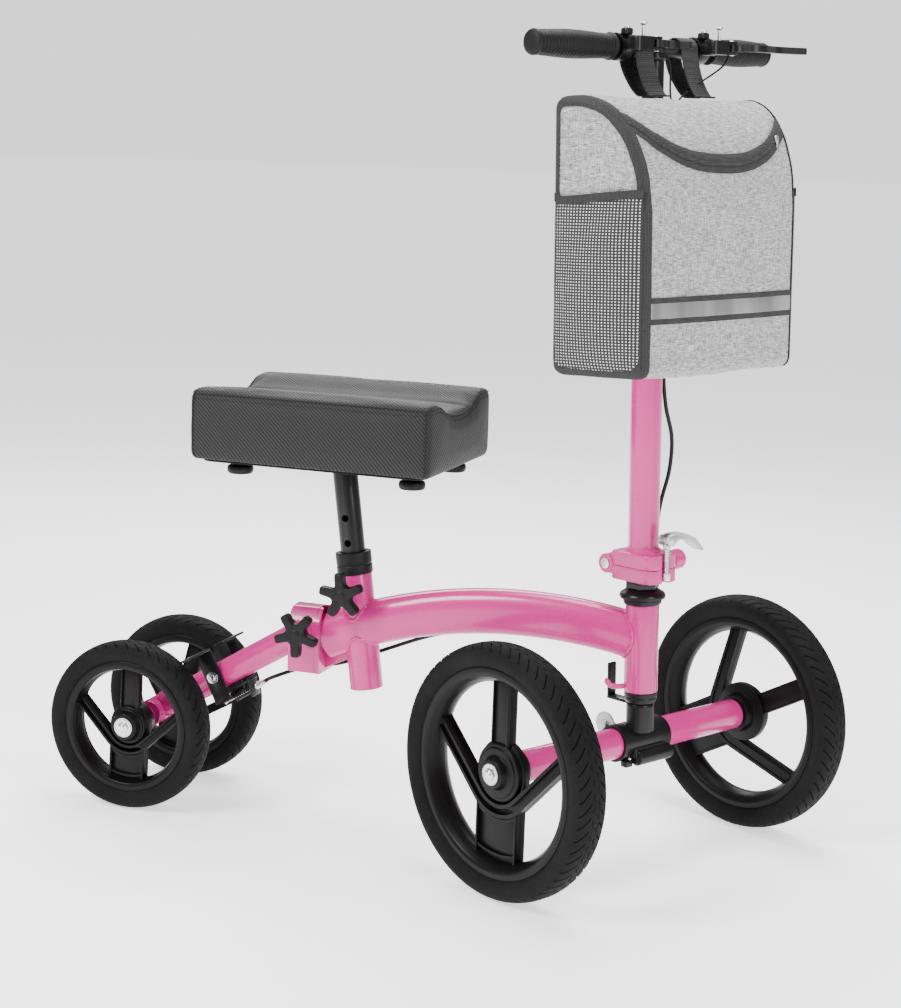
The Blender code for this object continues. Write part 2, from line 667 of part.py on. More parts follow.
# ---------------------------------------------------------------- seat post and knee pad
post_profile = [(POST_R, POST_HIGH), (POST_R, POST_LOW), (POST_R - 0.0022, POST_LOW),
                (POST_R - 0.0022, POST_HIGH)]
seat_post = turned("seat_post", post_profile, SEAT, material=BLACK_METAL, steps=24)
for hole in range(5):
    height = POST_LOW + 0.0240 + hole * POST_HOLE_PITCH
    cut(seat_post, rod(f"post_hole_{hole}", 0.0045, 0.03, SEAT, (0, -0.015, height), TO_LEFT, steps=8))
PAD_MIDDLE_X = (PAD_REAR + PAD_FRONT) / 2
post_top_x = SEAT_FOOT_X - math.sin(SEAT_RAKE) * POST_HIGH
cut(seat_post, box("post_top_cut", (0.10, 0.10, 0.04), SCOOTER, (post_top_x, 0, BOARD_LOW - GAP + 0.02)))
box("pad_board", (PAD_FRONT - PAD_REAR - 0.020, 2 * PAD_HALF - 0.020, PAD_LOW - GAP - BOARD_LOW), SCOOTER,
    (PAD_MIDDLE_X, 0, (PAD_LOW - GAP + BOARD_LOW) / 2), material=KNOB_PLASTIC)
channel = [
    (-PAD_HALF, PAD_LOW), (PAD_HALF, PAD_LOW), (PAD_HALF, PAD_HIGH - 0.004),
    (PAD_HALF - 0.006, PAD_HIGH), (0.072, PAD_HIGH - 0.002), (0.050, PAD_HIGH - 0.014),
    (0.020, PAD_HIGH - 0.021), (-0.020, PAD_HIGH - 0.021), (-0.050, PAD_HIGH - 0.014),
    (-0.072, PAD_HIGH - 0.002), (-PAD_HALF + 0.006, PAD_HIGH), (-PAD_HALF, PAD_HIGH - 0.004),
]
outline("knee_pad", channel, PAD_FRONT - PAD_REAR, SCOOTER, (PAD_MIDDLE_X, 0, 0),
        (math.radians(90), 0, math.radians(90)), PAD_COVER)
PAD_KNOB_X = (0.150, 0.378)
PAD_KNOB_Y = 0.075
foot_profile = [(0, -GAP), (0.0085, -GAP), (0.0085, -0.0050), (0.0155, -0.0070), (0.0165, -0.0110),
                (0.0155, -0.0165), (0, -0.0170)]
for corner, (x, y) in enumerate(
    [(PAD_KNOB_X[0], -PAD_KNOB_Y), (PAD_KNOB_X[1], -PAD_KNOB_Y),
     (PAD_KNOB_X[0], PAD_KNOB_Y), (PAD_KNOB_X[1], PAD_KNOB_Y)]
):
    turned(f"pad_knob_{corner + 1}", foot_profile, SCOOTER, (x, y, BOARD_LOW), material=KNOB_PLASTIC,
           ring=False, steps=20)


# ---------------------------------------------------------------- folding joint
def fold_half(name, low, high, material=None):
    """One half of the folding block, with its slot for the clamp bolt open at the front."""
    corner = 0.0070
    points = [
        (FOLD_REAR_X, -FOLD_HALF_WIDTH), (FOLD_FRONT_X - corner, -FOLD_HALF_WIDTH),
        (FOLD_FRONT_X, -FOLD_HALF_WIDTH + corner), (FOLD_FRONT_X, FOLD_HALF_WIDTH - corner),
        (FOLD_FRONT_X - corner, FOLD_HALF_WIDTH), (FOLD_REAR_X, FOLD_HALF_WIDTH),
    ]
    half = outline(name, points, high - low, STEERING, (0, 0, (low + high) / 2), (0, 0, 0), material)
    cut(half, box(f"{name}_slot", (0.016, 0.0110, 0.05), STEERING, (0.0370, 0, (low + high) / 2)))
    return half


def knuckle(name, middle, width, radius=FOLD_KNUCKLE_R):
    return rod(name, radius, width, FOLD, (0, middle, 0), TO_LEFT, steps=24)


KNUCKLE_SPLIT = 0.0145
OUTER_WIDTH = FOLD_HALF_WIDTH - KNUCKLE_SPLIT
OUTER_MIDDLE = (FOLD_HALF_WIDTH + KNUCKLE_SPLIT) / 2
fold_base = fold_half("fold_base", FOLD_LOW_Z, FOLD_SPLIT_Z - GAP / 2, PAINT)
cut(fold_base, knuckle("base_relief", 0, 2 * KNUCKLE_SPLIT, FOLD_KNUCKLE_R + 0.0006))
join(fold_base, knuckle("base_knuckle_right", -OUTER_MIDDLE, OUTER_WIDTH),
     knuckle("base_knuckle_left", OUTER_MIDDLE, OUTER_WIDTH))
fold_top = fold_half("fold_top", FOLD_SPLIT_Z + GAP / 2, FOLD_HIGH_Z, PAINT)
cut(fold_top, knuckle("top_relief_right", -OUTER_MIDDLE - 0.001, OUTER_WIDTH + 0.0026, FOLD_KNUCKLE_R + 0.0006),
    knuckle("top_relief_left", OUTER_MIDDLE + 0.001, OUTER_WIDTH + 0.0026, FOLD_KNUCKLE_R + 0.0006))
cut(fold_top, box("fold_top_chamfer", (0.0200, 0.0600, 0.0400), STEERING, (0.0384, 0, 0.3922),
                  (0, -0.738, 0)))
join(fold_top, knuckle("top_knuckle", 0, 2 * KNUCKLE_SPLIT - 0.0012))
for half in (fold_base, fold_top):
    cut(half, rod(f"{half.name}_pin_bore", 0.0043, 0.10, FOLD, turn=TO_LEFT, steps=16))
FOLD_PIN_HEAD = [(0, 0.0030), (0.0058, 0.0026), (0.0068, 0.0006), (0.0068, GAP)]
through_bolt("fold_pin", FOLD, 0.0040, FOLD_HALF_WIDTH, FOLD_PIN_HEAD)
join(
    fold_top,
    rod("latch_housing", 0.0120, 0.0200, STEERING, (0.0190, FOLD_HALF_WIDTH + GAP + 0.0100, 0.3790), TO_LEFT),
    box("latch_housing_root", (0.0160, 0.0060, 0.0090), STEERING, (0.0190, FOLD_HALF_WIDTH, 0.3810)),
)

CLAMP_X = 0.0378
turned("clamp_lever_bolt", [(0, 0.4060), (0.0040, 0.4060), (0.0040, 0.3990), (0.0028, 0.3985),
                            (0.0028, 0.3700), (0.0048, 0.3695), (0.0048, 0.3600), (0, 0.3600)],
       STEERING, (CLAMP_X, 0, 0), material=STEEL, steps=16, ring=False)
LEVER_PIVOT_Z = 0.4095
LEVER = new_empty("clamp_lever_axis", STEERING, (CLAMP_X, 0, LEVER_PIVOT_Z))
lever_points = [
    (-0.0055, -0.0060), (0.0050, -0.0070), (0.0080, -0.0010), (0.0220, 0.0010), (0.0360, -0.0050),
    (0.0560, -0.0190), (0.0575, -0.0165), (0.0420, -0.0010), (0.0250, 0.0065), (0.0060, 0.0075),
    (-0.0050, 0.0060), (-0.0080, 0.0),
]
clamp_lever = outline("clamp_lever", lever_points, 0.0140, LEVER, turn=(math.radians(90), 0, math.radians(90)),
                      material=STEEL)
cut(clamp_lever, box("clamp_lever_slot", (0.0090, 0.0240, 0.0300), LEVER, (0, -0.0060, 0)))

# ---------------------------------------------------------------- column, stem and handlebar
column_profile = [
    (0.0205, COLUMN_CAP), (0.0213, COLUMN_CAP - 0.001), (0.0213, COLUMN_TOP), (COLUMN_R, COLUMN_TOP - 0.001),
    (COLUMN_R, FOLD_HIGH_Z + GAP), (COLUMN_BORE_R, FOLD_HIGH_Z + GAP), (COLUMN_BORE_R, COLUMN_TOP),
    (STEM_R + GAP, COLUMN_TOP + 0.002), (STEM_R + GAP, COLUMN_CAP),
]
column = turned("column", column_profile, STEERING, material=PAINT, steps=24)
HEIGHT_KNOB_Z = 0.8140
cut(column, rod("height_knob_hole", ROUND_HOLE, 0.03, STEERING, (-0.020, 0, HEIGHT_KNOB_Z), ALONG_X, steps=12))
star_knob("height_knob", STEERING, (-0.0480, 0, HEIGHT_KNOB_Z), ALONG_X, math.radians(40), 0.0270)

stem = tube("stem", STEM_R, 0.0105, STEM_LOW, BAR_Z, STEERING, material=BLACK_METAL, steps=24)
cut(stem, rod("stem_bar_cut", BAR_R + GAP, 0.06, STEERING, (0, 0, BAR_Z), TO_LEFT, steps=24),
    box("stem_top_cut", (0.06, 0.06, 0.02), STEERING, (0, 0, BAR_Z + 0.010)))
tube("handlebar", BAR_R, 0.0092, -BAR_HALF, BAR_HALF, STEERING, (0, 0, BAR_Z), TO_LEFT, BLACK_METAL,
     steps=24)
grip_profile = [
    (0, GRIP_OUTER), (0.0110, GRIP_OUTER), (0.0145, GRIP_OUTER - 0.0040), (0.0150, 0.1500),
    (0.0165, 0.1200), (0.0150, 0.1050), (0.0140, GRIP_INNER), (BAR_R + GAP, GRIP_INNER),
    (BAR_R + GAP, BAR_HALF + 0.0005), (0, BAR_HALF + 0.0005),
]
LEFT_GRIP_SHIFT = 0.0200
turned("right_grip", grip_profile, STEERING, (0, 0, BAR_Z), TO_RIGHT, GRIP_RUBBER, 20, ring=False)
left_profile = [(r, z + LEFT_GRIP_SHIFT if z == GRIP_INNER else z) for r, z in grip_profile]
turned("left_grip", left_profile, STEERING, (0, 0, BAR_Z), TO_LEFT, GRIP_RUBBER, 20, ring=False)


# ---------------------------------------------------------------- brake levers
def lever_unit(side, clamp_y, blade_length, blade_bend):
    """A lever bracket clamped on the bar, its blade and its parking-lock pin."""
    base = new_empty(f"{side}_lever_base", STEERING, (0, clamp_y, BAR_Z))
    bracket = tube(f"{side}_lever_bracket", 0.0160, BAR_R + GAP, -0.0085, 0.0085, base, turn=TO_LEFT,
                   material=BLACK_METAL, steps=24)
    join(
        bracket,
        box(f"{side}_bracket_arm", (0.0160, 0.0170, 0.0150), base, (0.0205, 0, 0.0010)),
        box(f"{side}_bracket_body", (0.0170, 0.0430, 0.0160), base, (0.0285, 0.0130, 0.0030)),
        box(f"{side}_bracket_lug", (0.0100, 0.0120, 0.0080), base, (0.0110, 0, 0.0170)),
    )
    pivot = new_empty(f"{side}_lever_axis", base, (0.0310, 0.0280, 0.0030))
    cut(
        bracket,
        box(f"{side}_bracket_mouth", (0.0300, 0.0260, 0.0086), base, (0.0345, 0.0310, 0.0030)),
        rod(f"{side}_lever_pin_bore", 0.0028, 0.04, pivot, steps=12),
        rod(f"{side}_park_bore", 0.0024, 0.04, base, (0.0245, 0.0130, 0.0130), steps=12),
    )
    length = blade_length
    points = [
        (-0.0060, -0.0020), (-0.0050, 0.0060), (0.0060, 0.0070), (0.25 * length, 0.0075 + blade_bend),
        (0.60 * length, 0.0040 + blade_bend), (length, 0.0070 + blade_bend), (length + 0.0015, blade_bend),
        (0.98 * length, blade_bend - 0.0035), (0.60 * length, blade_bend - 0.0060),
        (0.25 * length, blade_bend - 0.0035), (0.0060, -0.0050), (-0.0040, -0.0060),
    ]
    blade = outline(f"{side}_brake_lever", [(y, x) for x, y in points], 0.0078, pivot,
                    material=BLACK_METAL)
    cut(blade, rod(f"{side}_blade_bore", 0.0028, 0.04, pivot, steps=12))
    pin_axis = new_empty(f"{side}_park_axis", base, (0.0245, 0.0130, 0))
    turned(f"{side}_parking_pin", [(0, 0.0270), (0.0042, 0.0265), (0.0042, 0.0245), (0.0020, 0.0230),
                                   (0.0020, 0.0080), (0, 0.0080)], pin_axis, material=STEEL, steps=12,
           ring=False)
    return base


lever_unit("right", -0.0570, 0.0520, 0.0)
lever_unit("left", 0.0730, 0.1120, 0.0140)

# ---------------------------------------------------------------- bag and straps
BAG_BACK = 0.0225
BAG_FRONT = 0.1400
BAG_LOW = 0.6170
BAG_TOP = 0.9250
BAG_MIDDLE_Y = -0.0290
BAG_BACK_HALF = 0.1540
BAG_FRONT_HALF = 0.1240
bag_side = [
    (BAG_BACK, BAG_LOW + 0.012), (BAG_BACK + 0.012, BAG_LOW), (BAG_FRONT - 0.012, BAG_LOW),
    (BAG_FRONT, BAG_LOW + 0.012), (BAG_FRONT, 0.800), (0.1350, 0.845), (0.1180, 0.885),
    (0.0900, 0.914), (0.0600, BAG_TOP), (0.0330, BAG_TOP - 0.002), (BAG_BACK, BAG_TOP - 0.013),
]
bag = outline("bag", bag_side, 1.0, STEERING, (0, BAG_MIDDLE_Y, 0), (math.radians(90), 0, 0), BAG_CLOTH)
for corner_point in bag.data.vertices:
    along = (corner_point.co.x - BAG_BACK) / (BAG_FRONT - BAG_BACK)
    half_here = BAG_BACK_HALF + (BAG_FRONT_HALF - BAG_BACK_HALF) * along
    corner_point.co.z = math.copysign(half_here, corner_point.co.z)

STRAP_THICK = 0.0024
STRAP_IN = BAR_R + 0.0009
for strap_side, strap_low, strap_high in (("right", -0.0455, -0.0155), ("left", 0.0330, 0.0620)):
    inner = [(0.0380, BAG_TOP + GAP + 0.0005)]
    outer = [(0.0430, BAG_TOP + GAP + 0.0008)]
    for step in range(9):
        angle = math.radians(-20 + 220 * step / 8)
        inner.append((STRAP_IN * math.cos(angle), BAR_Z + STRAP_IN * math.sin(angle)))
        reach = STRAP_IN + STRAP_THICK
        outer.append((reach * math.cos(angle), BAR_Z + reach * math.sin(angle)))
    inner.append((0.0180, BAG_TOP + 0.0010))
    outer.append((0.0150, BAG_TOP + 0.0010))
    outline(f"{strap_side}_bag_strap", inner + outer[::-1], strap_high - strap_low, STEERING,
            (0, (strap_low + strap_high) / 2, 0), (math.radians(90), 0, 0), WEBBING)

# ---------------------------------------------------------------- brake cable
# Route points in the steering frame, then in the scooter's own frame.
UPPER = [(0.0170, 0.0200, 0.8980), (0.0110, 0.0270, 0.8500), (0.0050, 0.0290, 0.7800),
         (0.0020, 0.0290, 0.7000), (0.0010, 0.0280, 0.6100), (0.0010, 0.0330, 0.5650),
         (0.0010, 0.0450, 0.5250), (-0.0020, 0.0455, 0.4850), (-0.0080, 0.0380, 0.4450),
         (-0.0120, 0.0360, 0.4100), (-0.0140, 0.0370, 0.3515)]
LOWER_START = (-0.0140, 0.0370, 0.3500)
LOWER = [(0.6380, 0.0460, 0.3150), (0.5950, 0.0310, 0.2900), (0.5200, 0.0265, 0.2800),
         (0.4500, 0.0270, 0.2650), (0.3800, 0.0270, 0.2500), (0.3000, 0.0300, 0.2170),
         (0.2500, 0.0320, 0.1960), (0.2000, 0.0270, 0.1850)]

wire("cable_upper", smooth_path(UPPER, 32), CABLE_R, STEERING, material=CABLE_SKIN)
bpy.context.view_layer.update()
handover = SCOOTER.matrix_world.inverted() @ STEERING.matrix_world @ Vector(LOWER_START)
to_scooter = SCOOTER.matrix_world.inverted() @ wire_axis.matrix_world
lead = [to_scooter @ Vector((0, 0, height)) for height in (0.0330, 0.0185)]
wire("cable_lower", smooth_path([handover] + LOWER + lead, 42), CABLE_R, SCOOTER, material=CABLE_SKIN)
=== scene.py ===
import math

import bmesh
import bpy
from mathutils import Matrix, Vector, noise
from mathutils.bvhtree import BVHTree


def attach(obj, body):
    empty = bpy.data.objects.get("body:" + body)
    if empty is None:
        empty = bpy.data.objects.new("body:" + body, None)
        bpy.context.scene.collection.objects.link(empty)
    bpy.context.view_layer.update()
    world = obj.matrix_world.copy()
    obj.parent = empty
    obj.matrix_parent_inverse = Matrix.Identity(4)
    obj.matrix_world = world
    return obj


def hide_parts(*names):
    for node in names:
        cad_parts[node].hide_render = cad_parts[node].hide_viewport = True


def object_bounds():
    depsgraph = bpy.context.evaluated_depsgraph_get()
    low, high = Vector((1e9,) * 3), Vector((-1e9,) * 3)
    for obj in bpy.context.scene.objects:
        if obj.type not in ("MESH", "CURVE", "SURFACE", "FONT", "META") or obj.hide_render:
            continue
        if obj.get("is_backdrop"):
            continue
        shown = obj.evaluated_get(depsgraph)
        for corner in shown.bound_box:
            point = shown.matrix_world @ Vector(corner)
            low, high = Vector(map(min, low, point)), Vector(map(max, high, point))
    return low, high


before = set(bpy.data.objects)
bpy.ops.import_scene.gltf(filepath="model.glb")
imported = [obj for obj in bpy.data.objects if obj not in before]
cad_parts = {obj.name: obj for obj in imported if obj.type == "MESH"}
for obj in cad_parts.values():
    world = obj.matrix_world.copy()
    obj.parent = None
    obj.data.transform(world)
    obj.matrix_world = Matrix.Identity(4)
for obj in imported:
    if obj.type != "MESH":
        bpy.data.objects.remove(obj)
CAD_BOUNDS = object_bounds()

# ---------------------------------------------------------------- dimensions, as in the CAD
# MX and MY put the middle of the parked scooter's plan on the origin. Metres and radians throughout.
MX, MY = 0.3880, 0.0073
WHEELBASE = 0.6572
RAKE = math.radians(1.84)
STEER_REST = math.radians(-28.9)
R_FRONT, R_REAR = 0.152, 0.1104
HALF_FRONT, HALF_REAR = 0.0235, 0.0210
FRONT_TRACK, REAR_TRACK = 0.4316, 0.1575
TRAIL = 0.0151
HUB_HALF = 0.0185
BAR_Z = 0.981

Tr = Matrix.Translation


def rot(angle, axis):
    """A turn about one axis, in radians."""
    return Matrix.Rotation(angle, 4, axis)


SCOOTER = Tr((-MX, -MY, 0))
HEAD = SCOOTER @ Tr((WHEELBASE + R_FRONT * math.tan(RAKE), 0, 0)) @ rot(-RAKE, "Y")
STEER = HEAD @ rot(STEER_REST, "Z")
FRONT = (
    SCOOTER
    @ Tr((WHEELBASE - TRAIL * math.cos(STEER_REST), -TRAIL * math.sin(STEER_REST), R_FRONT))
    @ rot(STEER_REST, "Z")
)
REAR = SCOOTER @ Tr((0, 0, R_REAR))
SEAT = SCOOTER @ Tr((0.3205, 0, 0)) @ rot(-math.radians(7.6), "Y")
YOKE = SCOOTER @ Tr((0.0905, 0, 0.1695)) @ rot(math.radians(-26.2), "Y")
TUBE_SLOPE = math.atan2(0.622, 1.0)
REAR_TUBE = REAR @ rot(math.pi / 2 - TUBE_SLOPE, "Y")
WIRE = SCOOTER @ Tr((0.1380, 0, 0.1560)) @ rot(math.pi / 2 - math.radians(33), "Y")
FOLD = STEER @ Tr((-0.0380, 0, 0.3735))
LEVER = STEER @ Tr((0.0378, 0, 0.4095))
UPRIGHT = rot(math.radians(90), "Z") @ rot(math.radians(90), "X")
TO_RIGHT = rot(math.radians(90), "X")
TO_LEFT = rot(math.radians(-90), "X")
ALONG_X = rot(math.radians(90), "Y")
HERE = Matrix()


# ---------------------------------------------------------------- materials
class Look:
    """A Principled material whose detail is built from nodes in object space."""

    def __init__(self, name, colour, roughness, metallic=0.0, **sockets):
        self.material = bpy.data.materials.new(name)
        self.material.use_nodes = True
        self.tree = self.material.node_tree
        self.shader = self.tree.nodes["Principled BSDF"]
        self.set("Base Color", (*colour, 1))
        self.set("Roughness", roughness)
        self.set("Metallic", metallic)
        for socket, value in sockets.items():
            self.set(socket.replace("_", " "), value)
        self.place = self.node("ShaderNodeTexCoord").outputs["Object"]

    def set(self, socket, value):
        self.shader.inputs[socket].default_value = value

    def node(self, kind, settings=None, **inputs):
        made = self.tree.nodes.new(kind)
        for key, value in (settings or {}).items():
            setattr(made, key, value)
        for key, value in inputs.items():
            target = made.inputs[int(key[1:])] if key[0] == "i" and key[1:].isdigit() else made.inputs[key]
            if isinstance(value, bpy.types.NodeSocket):
                self.tree.links.new(value, target)
            else:
                target.default_value = value
        return made

    def math(self, operation, first, second=0.0):
        return self.node("ShaderNodeMath", {"operation": operation}, i0=first, i1=second).outputs[0]

    def scaled(self, vector):
        return self.node("ShaderNodeMapping", None, Vector=self.place, Scale=vector).outputs[0]

    def noise(self, scale, detail=3.0, rough=0.55, where=None):
        made = self.node("ShaderNodeTexNoise", None, Vector=where or self.place, Scale=scale, Detail=detail,
                         Roughness=rough)
        return made.outputs["Fac"]

    def ramp(self, value, stops):
        made = self.node("ShaderNodeValToRGB", None, Fac=value)
        elements = made.color_ramp.elements
        while len(elements) < len(stops):
            elements.new(0.5)
        for element, (spot, colour) in zip(elements, stops):
            element.position = spot
            element.color = (*colour, 1)
        return made.outputs["Color"]

    def grey(self, value, low, high, first=0.0, last=1.0):
        return self.node("ShaderNodeMapRange", None, Value=value, i1=first, i2=last, i3=low,
                         i4=high).outputs[0]

    def mix(self, factor, first, second):
        made = self.node("ShaderNodeMix", {"data_type": "RGBA"})
        for spot, value in ((0, factor), (6, first), (7, second)):
            if isinstance(value, bpy.types.NodeSocket):
                self.tree.links.new(value, made.inputs[spot])
            else:
                made.inputs[spot].default_value = (*value, 1) if isinstance(value, tuple) else value
        return made.outputs[2]

    def colour(self, socket):
        self.tree.links.new(socket, self.shader.inputs["Base Color"])
        return self

    def rough(self, socket):
        self.tree.links.new(socket, self.shader.inputs["Roughness"])
        return self

    def bump(self, height, strength, distance):
        made = self.node("ShaderNodeBump", None, Height=height, Strength=strength, Distance=distance)
        self.tree.links.new(made.outputs[0], self.shader.inputs["Normal"])
        return self


def paint_look():
    """Glossy pink paint with a fine fleck."""
    look = Look("pink_paint", (0.80, 0.10, 0.36), 0.26, Coat_Weight=0.30, Coat_Roughness=0.05,
                Specular_IOR_Level=0.35)
    fleck = look.noise(900, 2)
    cloud = look.noise(9, 3)
    tint = look.ramp(cloud, [(0.3, (0.50, 0.011, 0.180)), (0.7, (0.54, 0.015, 0.200))])
    look.colour(look.mix(look.grey(fleck, 0, 0.10, 0.4, 0.7), tint, (0.70, 0.10, 0.32)))
    look.rough(look.grey(look.noise(60, 4), 0.20, 0.32))
    return look.bump(look.noise(420, 2), 0.05, 0.0004)


def dark_look(name, level, roughness, grain, strength, distance=0.0005, wear=0.0, **sockets):
    """A near-black plastic, rubber or metal: cloudy tone, fine grain and optional wear."""
    sockets.setdefault("Specular_IOR_Level", 0.20)
    look = Look(name, (level, level, level * 1.03), roughness, **sockets)
    cloud = look.noise(14, 4)
    low = (level * 0.82, level * 0.82, level * 0.85)
    high = (level * 1.25, level * 1.25, level * 1.28)
    shade = look.ramp(cloud, [(0.3, low), (0.7, high)])
    if wear:
        edge = look.node("ShaderNodeNewGeometry").outputs["Pointiness"]
        shade = look.mix(look.grey(edge, 0, wear, 0.52, 0.60), shade, (0.22, 0.22, 0.22))
    look.colour(shade)
    look.rough(look.grey(look.noise(90, 4), roughness - 0.06, roughness + 0.08))
    return look.bump(look.noise(grain, 3), strength, distance)


def steel_look(name, level, roughness, lines=(900, 900, 40)):
    """Brushed metal."""
    look = Look(name, (level, level, level * 1.01), roughness, 1.0)
    brushed = look.noise(1.0, 3, 0.6, look.scaled(lines))
    look.colour(look.ramp(look.noise(30, 3), [(0.3, (level * 0.86,) * 3), (0.7, (level,) * 3)]))
    look.rough(look.grey(brushed, roughness - 0.07, roughness + 0.12))
    return look.bump(brushed, 0.08, 0.0002)


def tyre_look():
    """Dull black rubber with a little dust."""
    look = Look("tyre_rubber", (0.035, 0.036, 0.037), 0.72, Specular_IOR_Level=0.09)
    cloud = look.noise(22, 5)
    dust = look.noise(180, 4)
    shade = look.ramp(cloud, [(0.25, (0.0040, 0.0041, 0.0042)), (0.75, (0.0080, 0.0082, 0.0084))])
    look.colour(look.mix(look.grey(dust, 0, 0.25, 0.5, 0.8), shade, (0.018, 0.018, 0.018)))
    look.rough(look.grey(look.noise(120, 4), 0.62, 0.82))
    return look.bump(look.noise(1500, 3), 0.20, 0.0005)


def heather_look():
    """Light grey woven polyester with darker slubs both ways."""
    look = Look("bag_heather", (0.52, 0.52, 0.525), 0.92, Sheen_Weight=0.15, Sheen_Roughness=0.5)
    across = look.noise(1.0, 3, 0.7, look.scaled((130, 130, 900)))
    upright = look.noise(1.0, 3, 0.7, look.scaled((900, 900, 130)))
    threads = look.math("ADD", look.math("MULTIPLY", across, 0.55), look.math("MULTIPLY", upright, 0.45))
    tone = look.ramp(threads, [(0.36, (0.060, 0.060, 0.062)), (0.49, (0.27, 0.27, 0.272)),
                               (0.62, (0.56, 0.56, 0.56))])
    cloud = look.noise(34, 4)
    look.colour(look.mix(look.grey(cloud, 0.0, 0.18, 0.4, 0.75), tone, (0.20, 0.20, 0.202)))
    x, _, z = weave_waves(look, 1100)
    weave = look.math("MULTIPLY", look.math("ADD", x, z), 0.25)
    height = look.math("ADD", look.math("MULTIPLY", threads, 1.2), weave)
    return look.bump(height, 0.35, 0.0006)


def weave_waves(look, pitch):
    """Sine waves of object X, Y and Z, for weaves."""
    split = look.node("ShaderNodeSeparateXYZ", None, Vector=look.scaled((pitch * 2,) * 3))
    return [look.math("SINE", split.outputs[k]) for k in range(3)]


def net_look():
    """Black net with open holes that show the pale cloth behind."""
    look = Look("pocket_net", (0.1, 0.1, 0.1), 0.8, Sheen_Weight=0.1)
    split = look.node("ShaderNodeSeparateXYZ", None, Vector=look.place)
    along = look.math("MULTIPLY", split.outputs[0], math.pi / 0.0038)
    up = look.math("MULTIPLY", split.outputs[2], math.pi / 0.0033)
    dots = look.math(
        "MULTIPLY",
        look.math("SINE", look.math("ADD", along, up)),
        look.math("SINE", look.math("SUBTRACT", along, up)),
    )
    hole = look.grey(dots, 0, 1, 0.42, 0.70)
    back = look.ramp(look.noise(700, 3), [(0.3, (0.55, 0.55, 0.55)), (0.7, (0.85, 0.85, 0.85))])
    look.colour(look.mix(hole, (0.010, 0.010, 0.011), back))
    return look.bump(look.math("SUBTRACT", 1.0, hole), 0.6, 0.0006)


def binding_look(name, pitch=0.0016, level=0.008):
    """Black grosgrain with cross ribs."""
    look = Look(name, (level,) * 3, 0.75, Sheen_Weight=0.03, Sheen_Roughness=0.4)
    x, y, z = weave_waves(look, math.pi / pitch)
    ribs = look.math("ADD", look.math("ADD", x, y), z)
    shade = look.grey(ribs, 0, 1, -2, 2)
    look.colour(look.ramp(shade, [(0.25, (level * 0.6,) * 3), (0.75, (level * 2.1,) * 3)]))
    return look.bump(ribs, 0.45, 0.0005)


def pad_look():
    """Charcoal coated cloth with a fine diagonal twill."""
    look = Look("pad_cover", (0.03, 0.03, 0.031), 0.60, Specular_IOR_Level=0.22)
    split = look.node("ShaderNodeSeparateXYZ", None, Vector=look.place)
    x, y, z = split.outputs
    lean = look.math("ADD", x, look.math("ADD", look.math("MULTIPLY", y, 0.9), z))
    other = look.math("SUBTRACT", x,
                      look.math("ADD", look.math("MULTIPLY", z, 1.7), look.math("MULTIPLY", y, 0.6)))
    twill = look.math("SINE", look.math("MULTIPLY", lean, 2 * math.pi / 0.0052))
    cross = look.math("SINE", look.math("MULTIPLY", other, 2 * math.pi / 0.0021))
    cell = look.math("ADD", look.math("MULTIPLY", twill, 0.72), look.math("MULTIPLY", cross, 0.28))
    tone = look.ramp(look.grey(cell, 0, 1, -1, 1),
                     [(0.2, (0.004, 0.004, 0.0045)), (0.8, (0.024, 0.024, 0.025))])
    cloud = look.noise(16, 4)
    look.colour(look.mix(look.grey(cloud, 0, 0.35, 0.35, 0.75), tone, (0.012, 0.012, 0.0125)))
    look.rough(look.grey(cell, 0.70, 0.52, -1, 1))
    height = look.math("ADD", cell, look.math("MULTIPLY", look.noise(900, 2), 0.4))
    return look.bump(height, 0.40, 0.0005)


def reflective_look():
    """Grey reflective tape with soft streaks."""
    look = Look("reflective_band", (0.36, 0.36, 0.36), 0.35, 0.35)
    cloud = look.noise(1.0, 2, 0.5, look.scaled((10, 28, 4)))
    look.colour(look.ramp(cloud, [(0.35, (0.16, 0.16, 0.16)), (0.65, (0.28, 0.28, 0.28))]))
    return look.bump(look.noise(1400, 1), 0.15, 0.0003)


PAINT = paint_look().material
BLACK_METAL = dark_look("black_metal", 0.004, 0.34, 700, 0.10, wear=0.06, Coat_Weight=0.06).material
RIM_PLASTIC = dark_look("rim_plastic", 0.0035, 0.36, 260, 0.04, Specular_IOR_Level=0.13).material
KNOB_PLASTIC = dark_look("knob_plastic", 0.004, 0.48, 1100, 0.22).material
GRIP_RUBBER = dark_look("grip_rubber", 0.004, 0.52, 1300, 0.30).material
CABLE_SKIN = dark_look("cable_skin", 0.008, 0.40, 500, 0.08).material
STEEL = steel_look("bright_steel", 0.74, 0.24).material
ZINC = steel_look("zinc_plate", 0.55, 0.33, (300, 300, 300)).material
TYRE_RUBBER = tyre_look().material
HEATHER = heather_look().material
NET = net_look().material
BINDING = binding_look("bag_binding").material
WEBBING = binding_look("strap_webbing", 0.0024, 0.008).material
PAD_COVER = pad_look().material
REFLECTIVE = reflective_look().material
THREAD = dark_look("dark_thread", 0.010, 0.75, 1500, 0.3).material


# ---------------------------------------------------------------- mesh building
def piece(name, bm, where, material, body, nodes=(), crease=32):
    """Turns a bmesh into a finished piece on a body."""
    bmesh.ops.recalc_face_normals(bm, faces=bm.faces)
    mesh = bpy.data.meshes.new(name)
    bm.to_mesh(mesh)
    bm.free()
    mesh.materials.append(material)
    obj = bpy.data.objects.new(name, mesh)
    bpy.context.scene.collection.objects.link(obj)
    obj.matrix_world = where
    mesh.shade_smooth()
    mesh.set_sharp_from_angle(angle=math.radians(crease))
    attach(obj, body)
    if nodes:
        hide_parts(*nodes)
    return obj


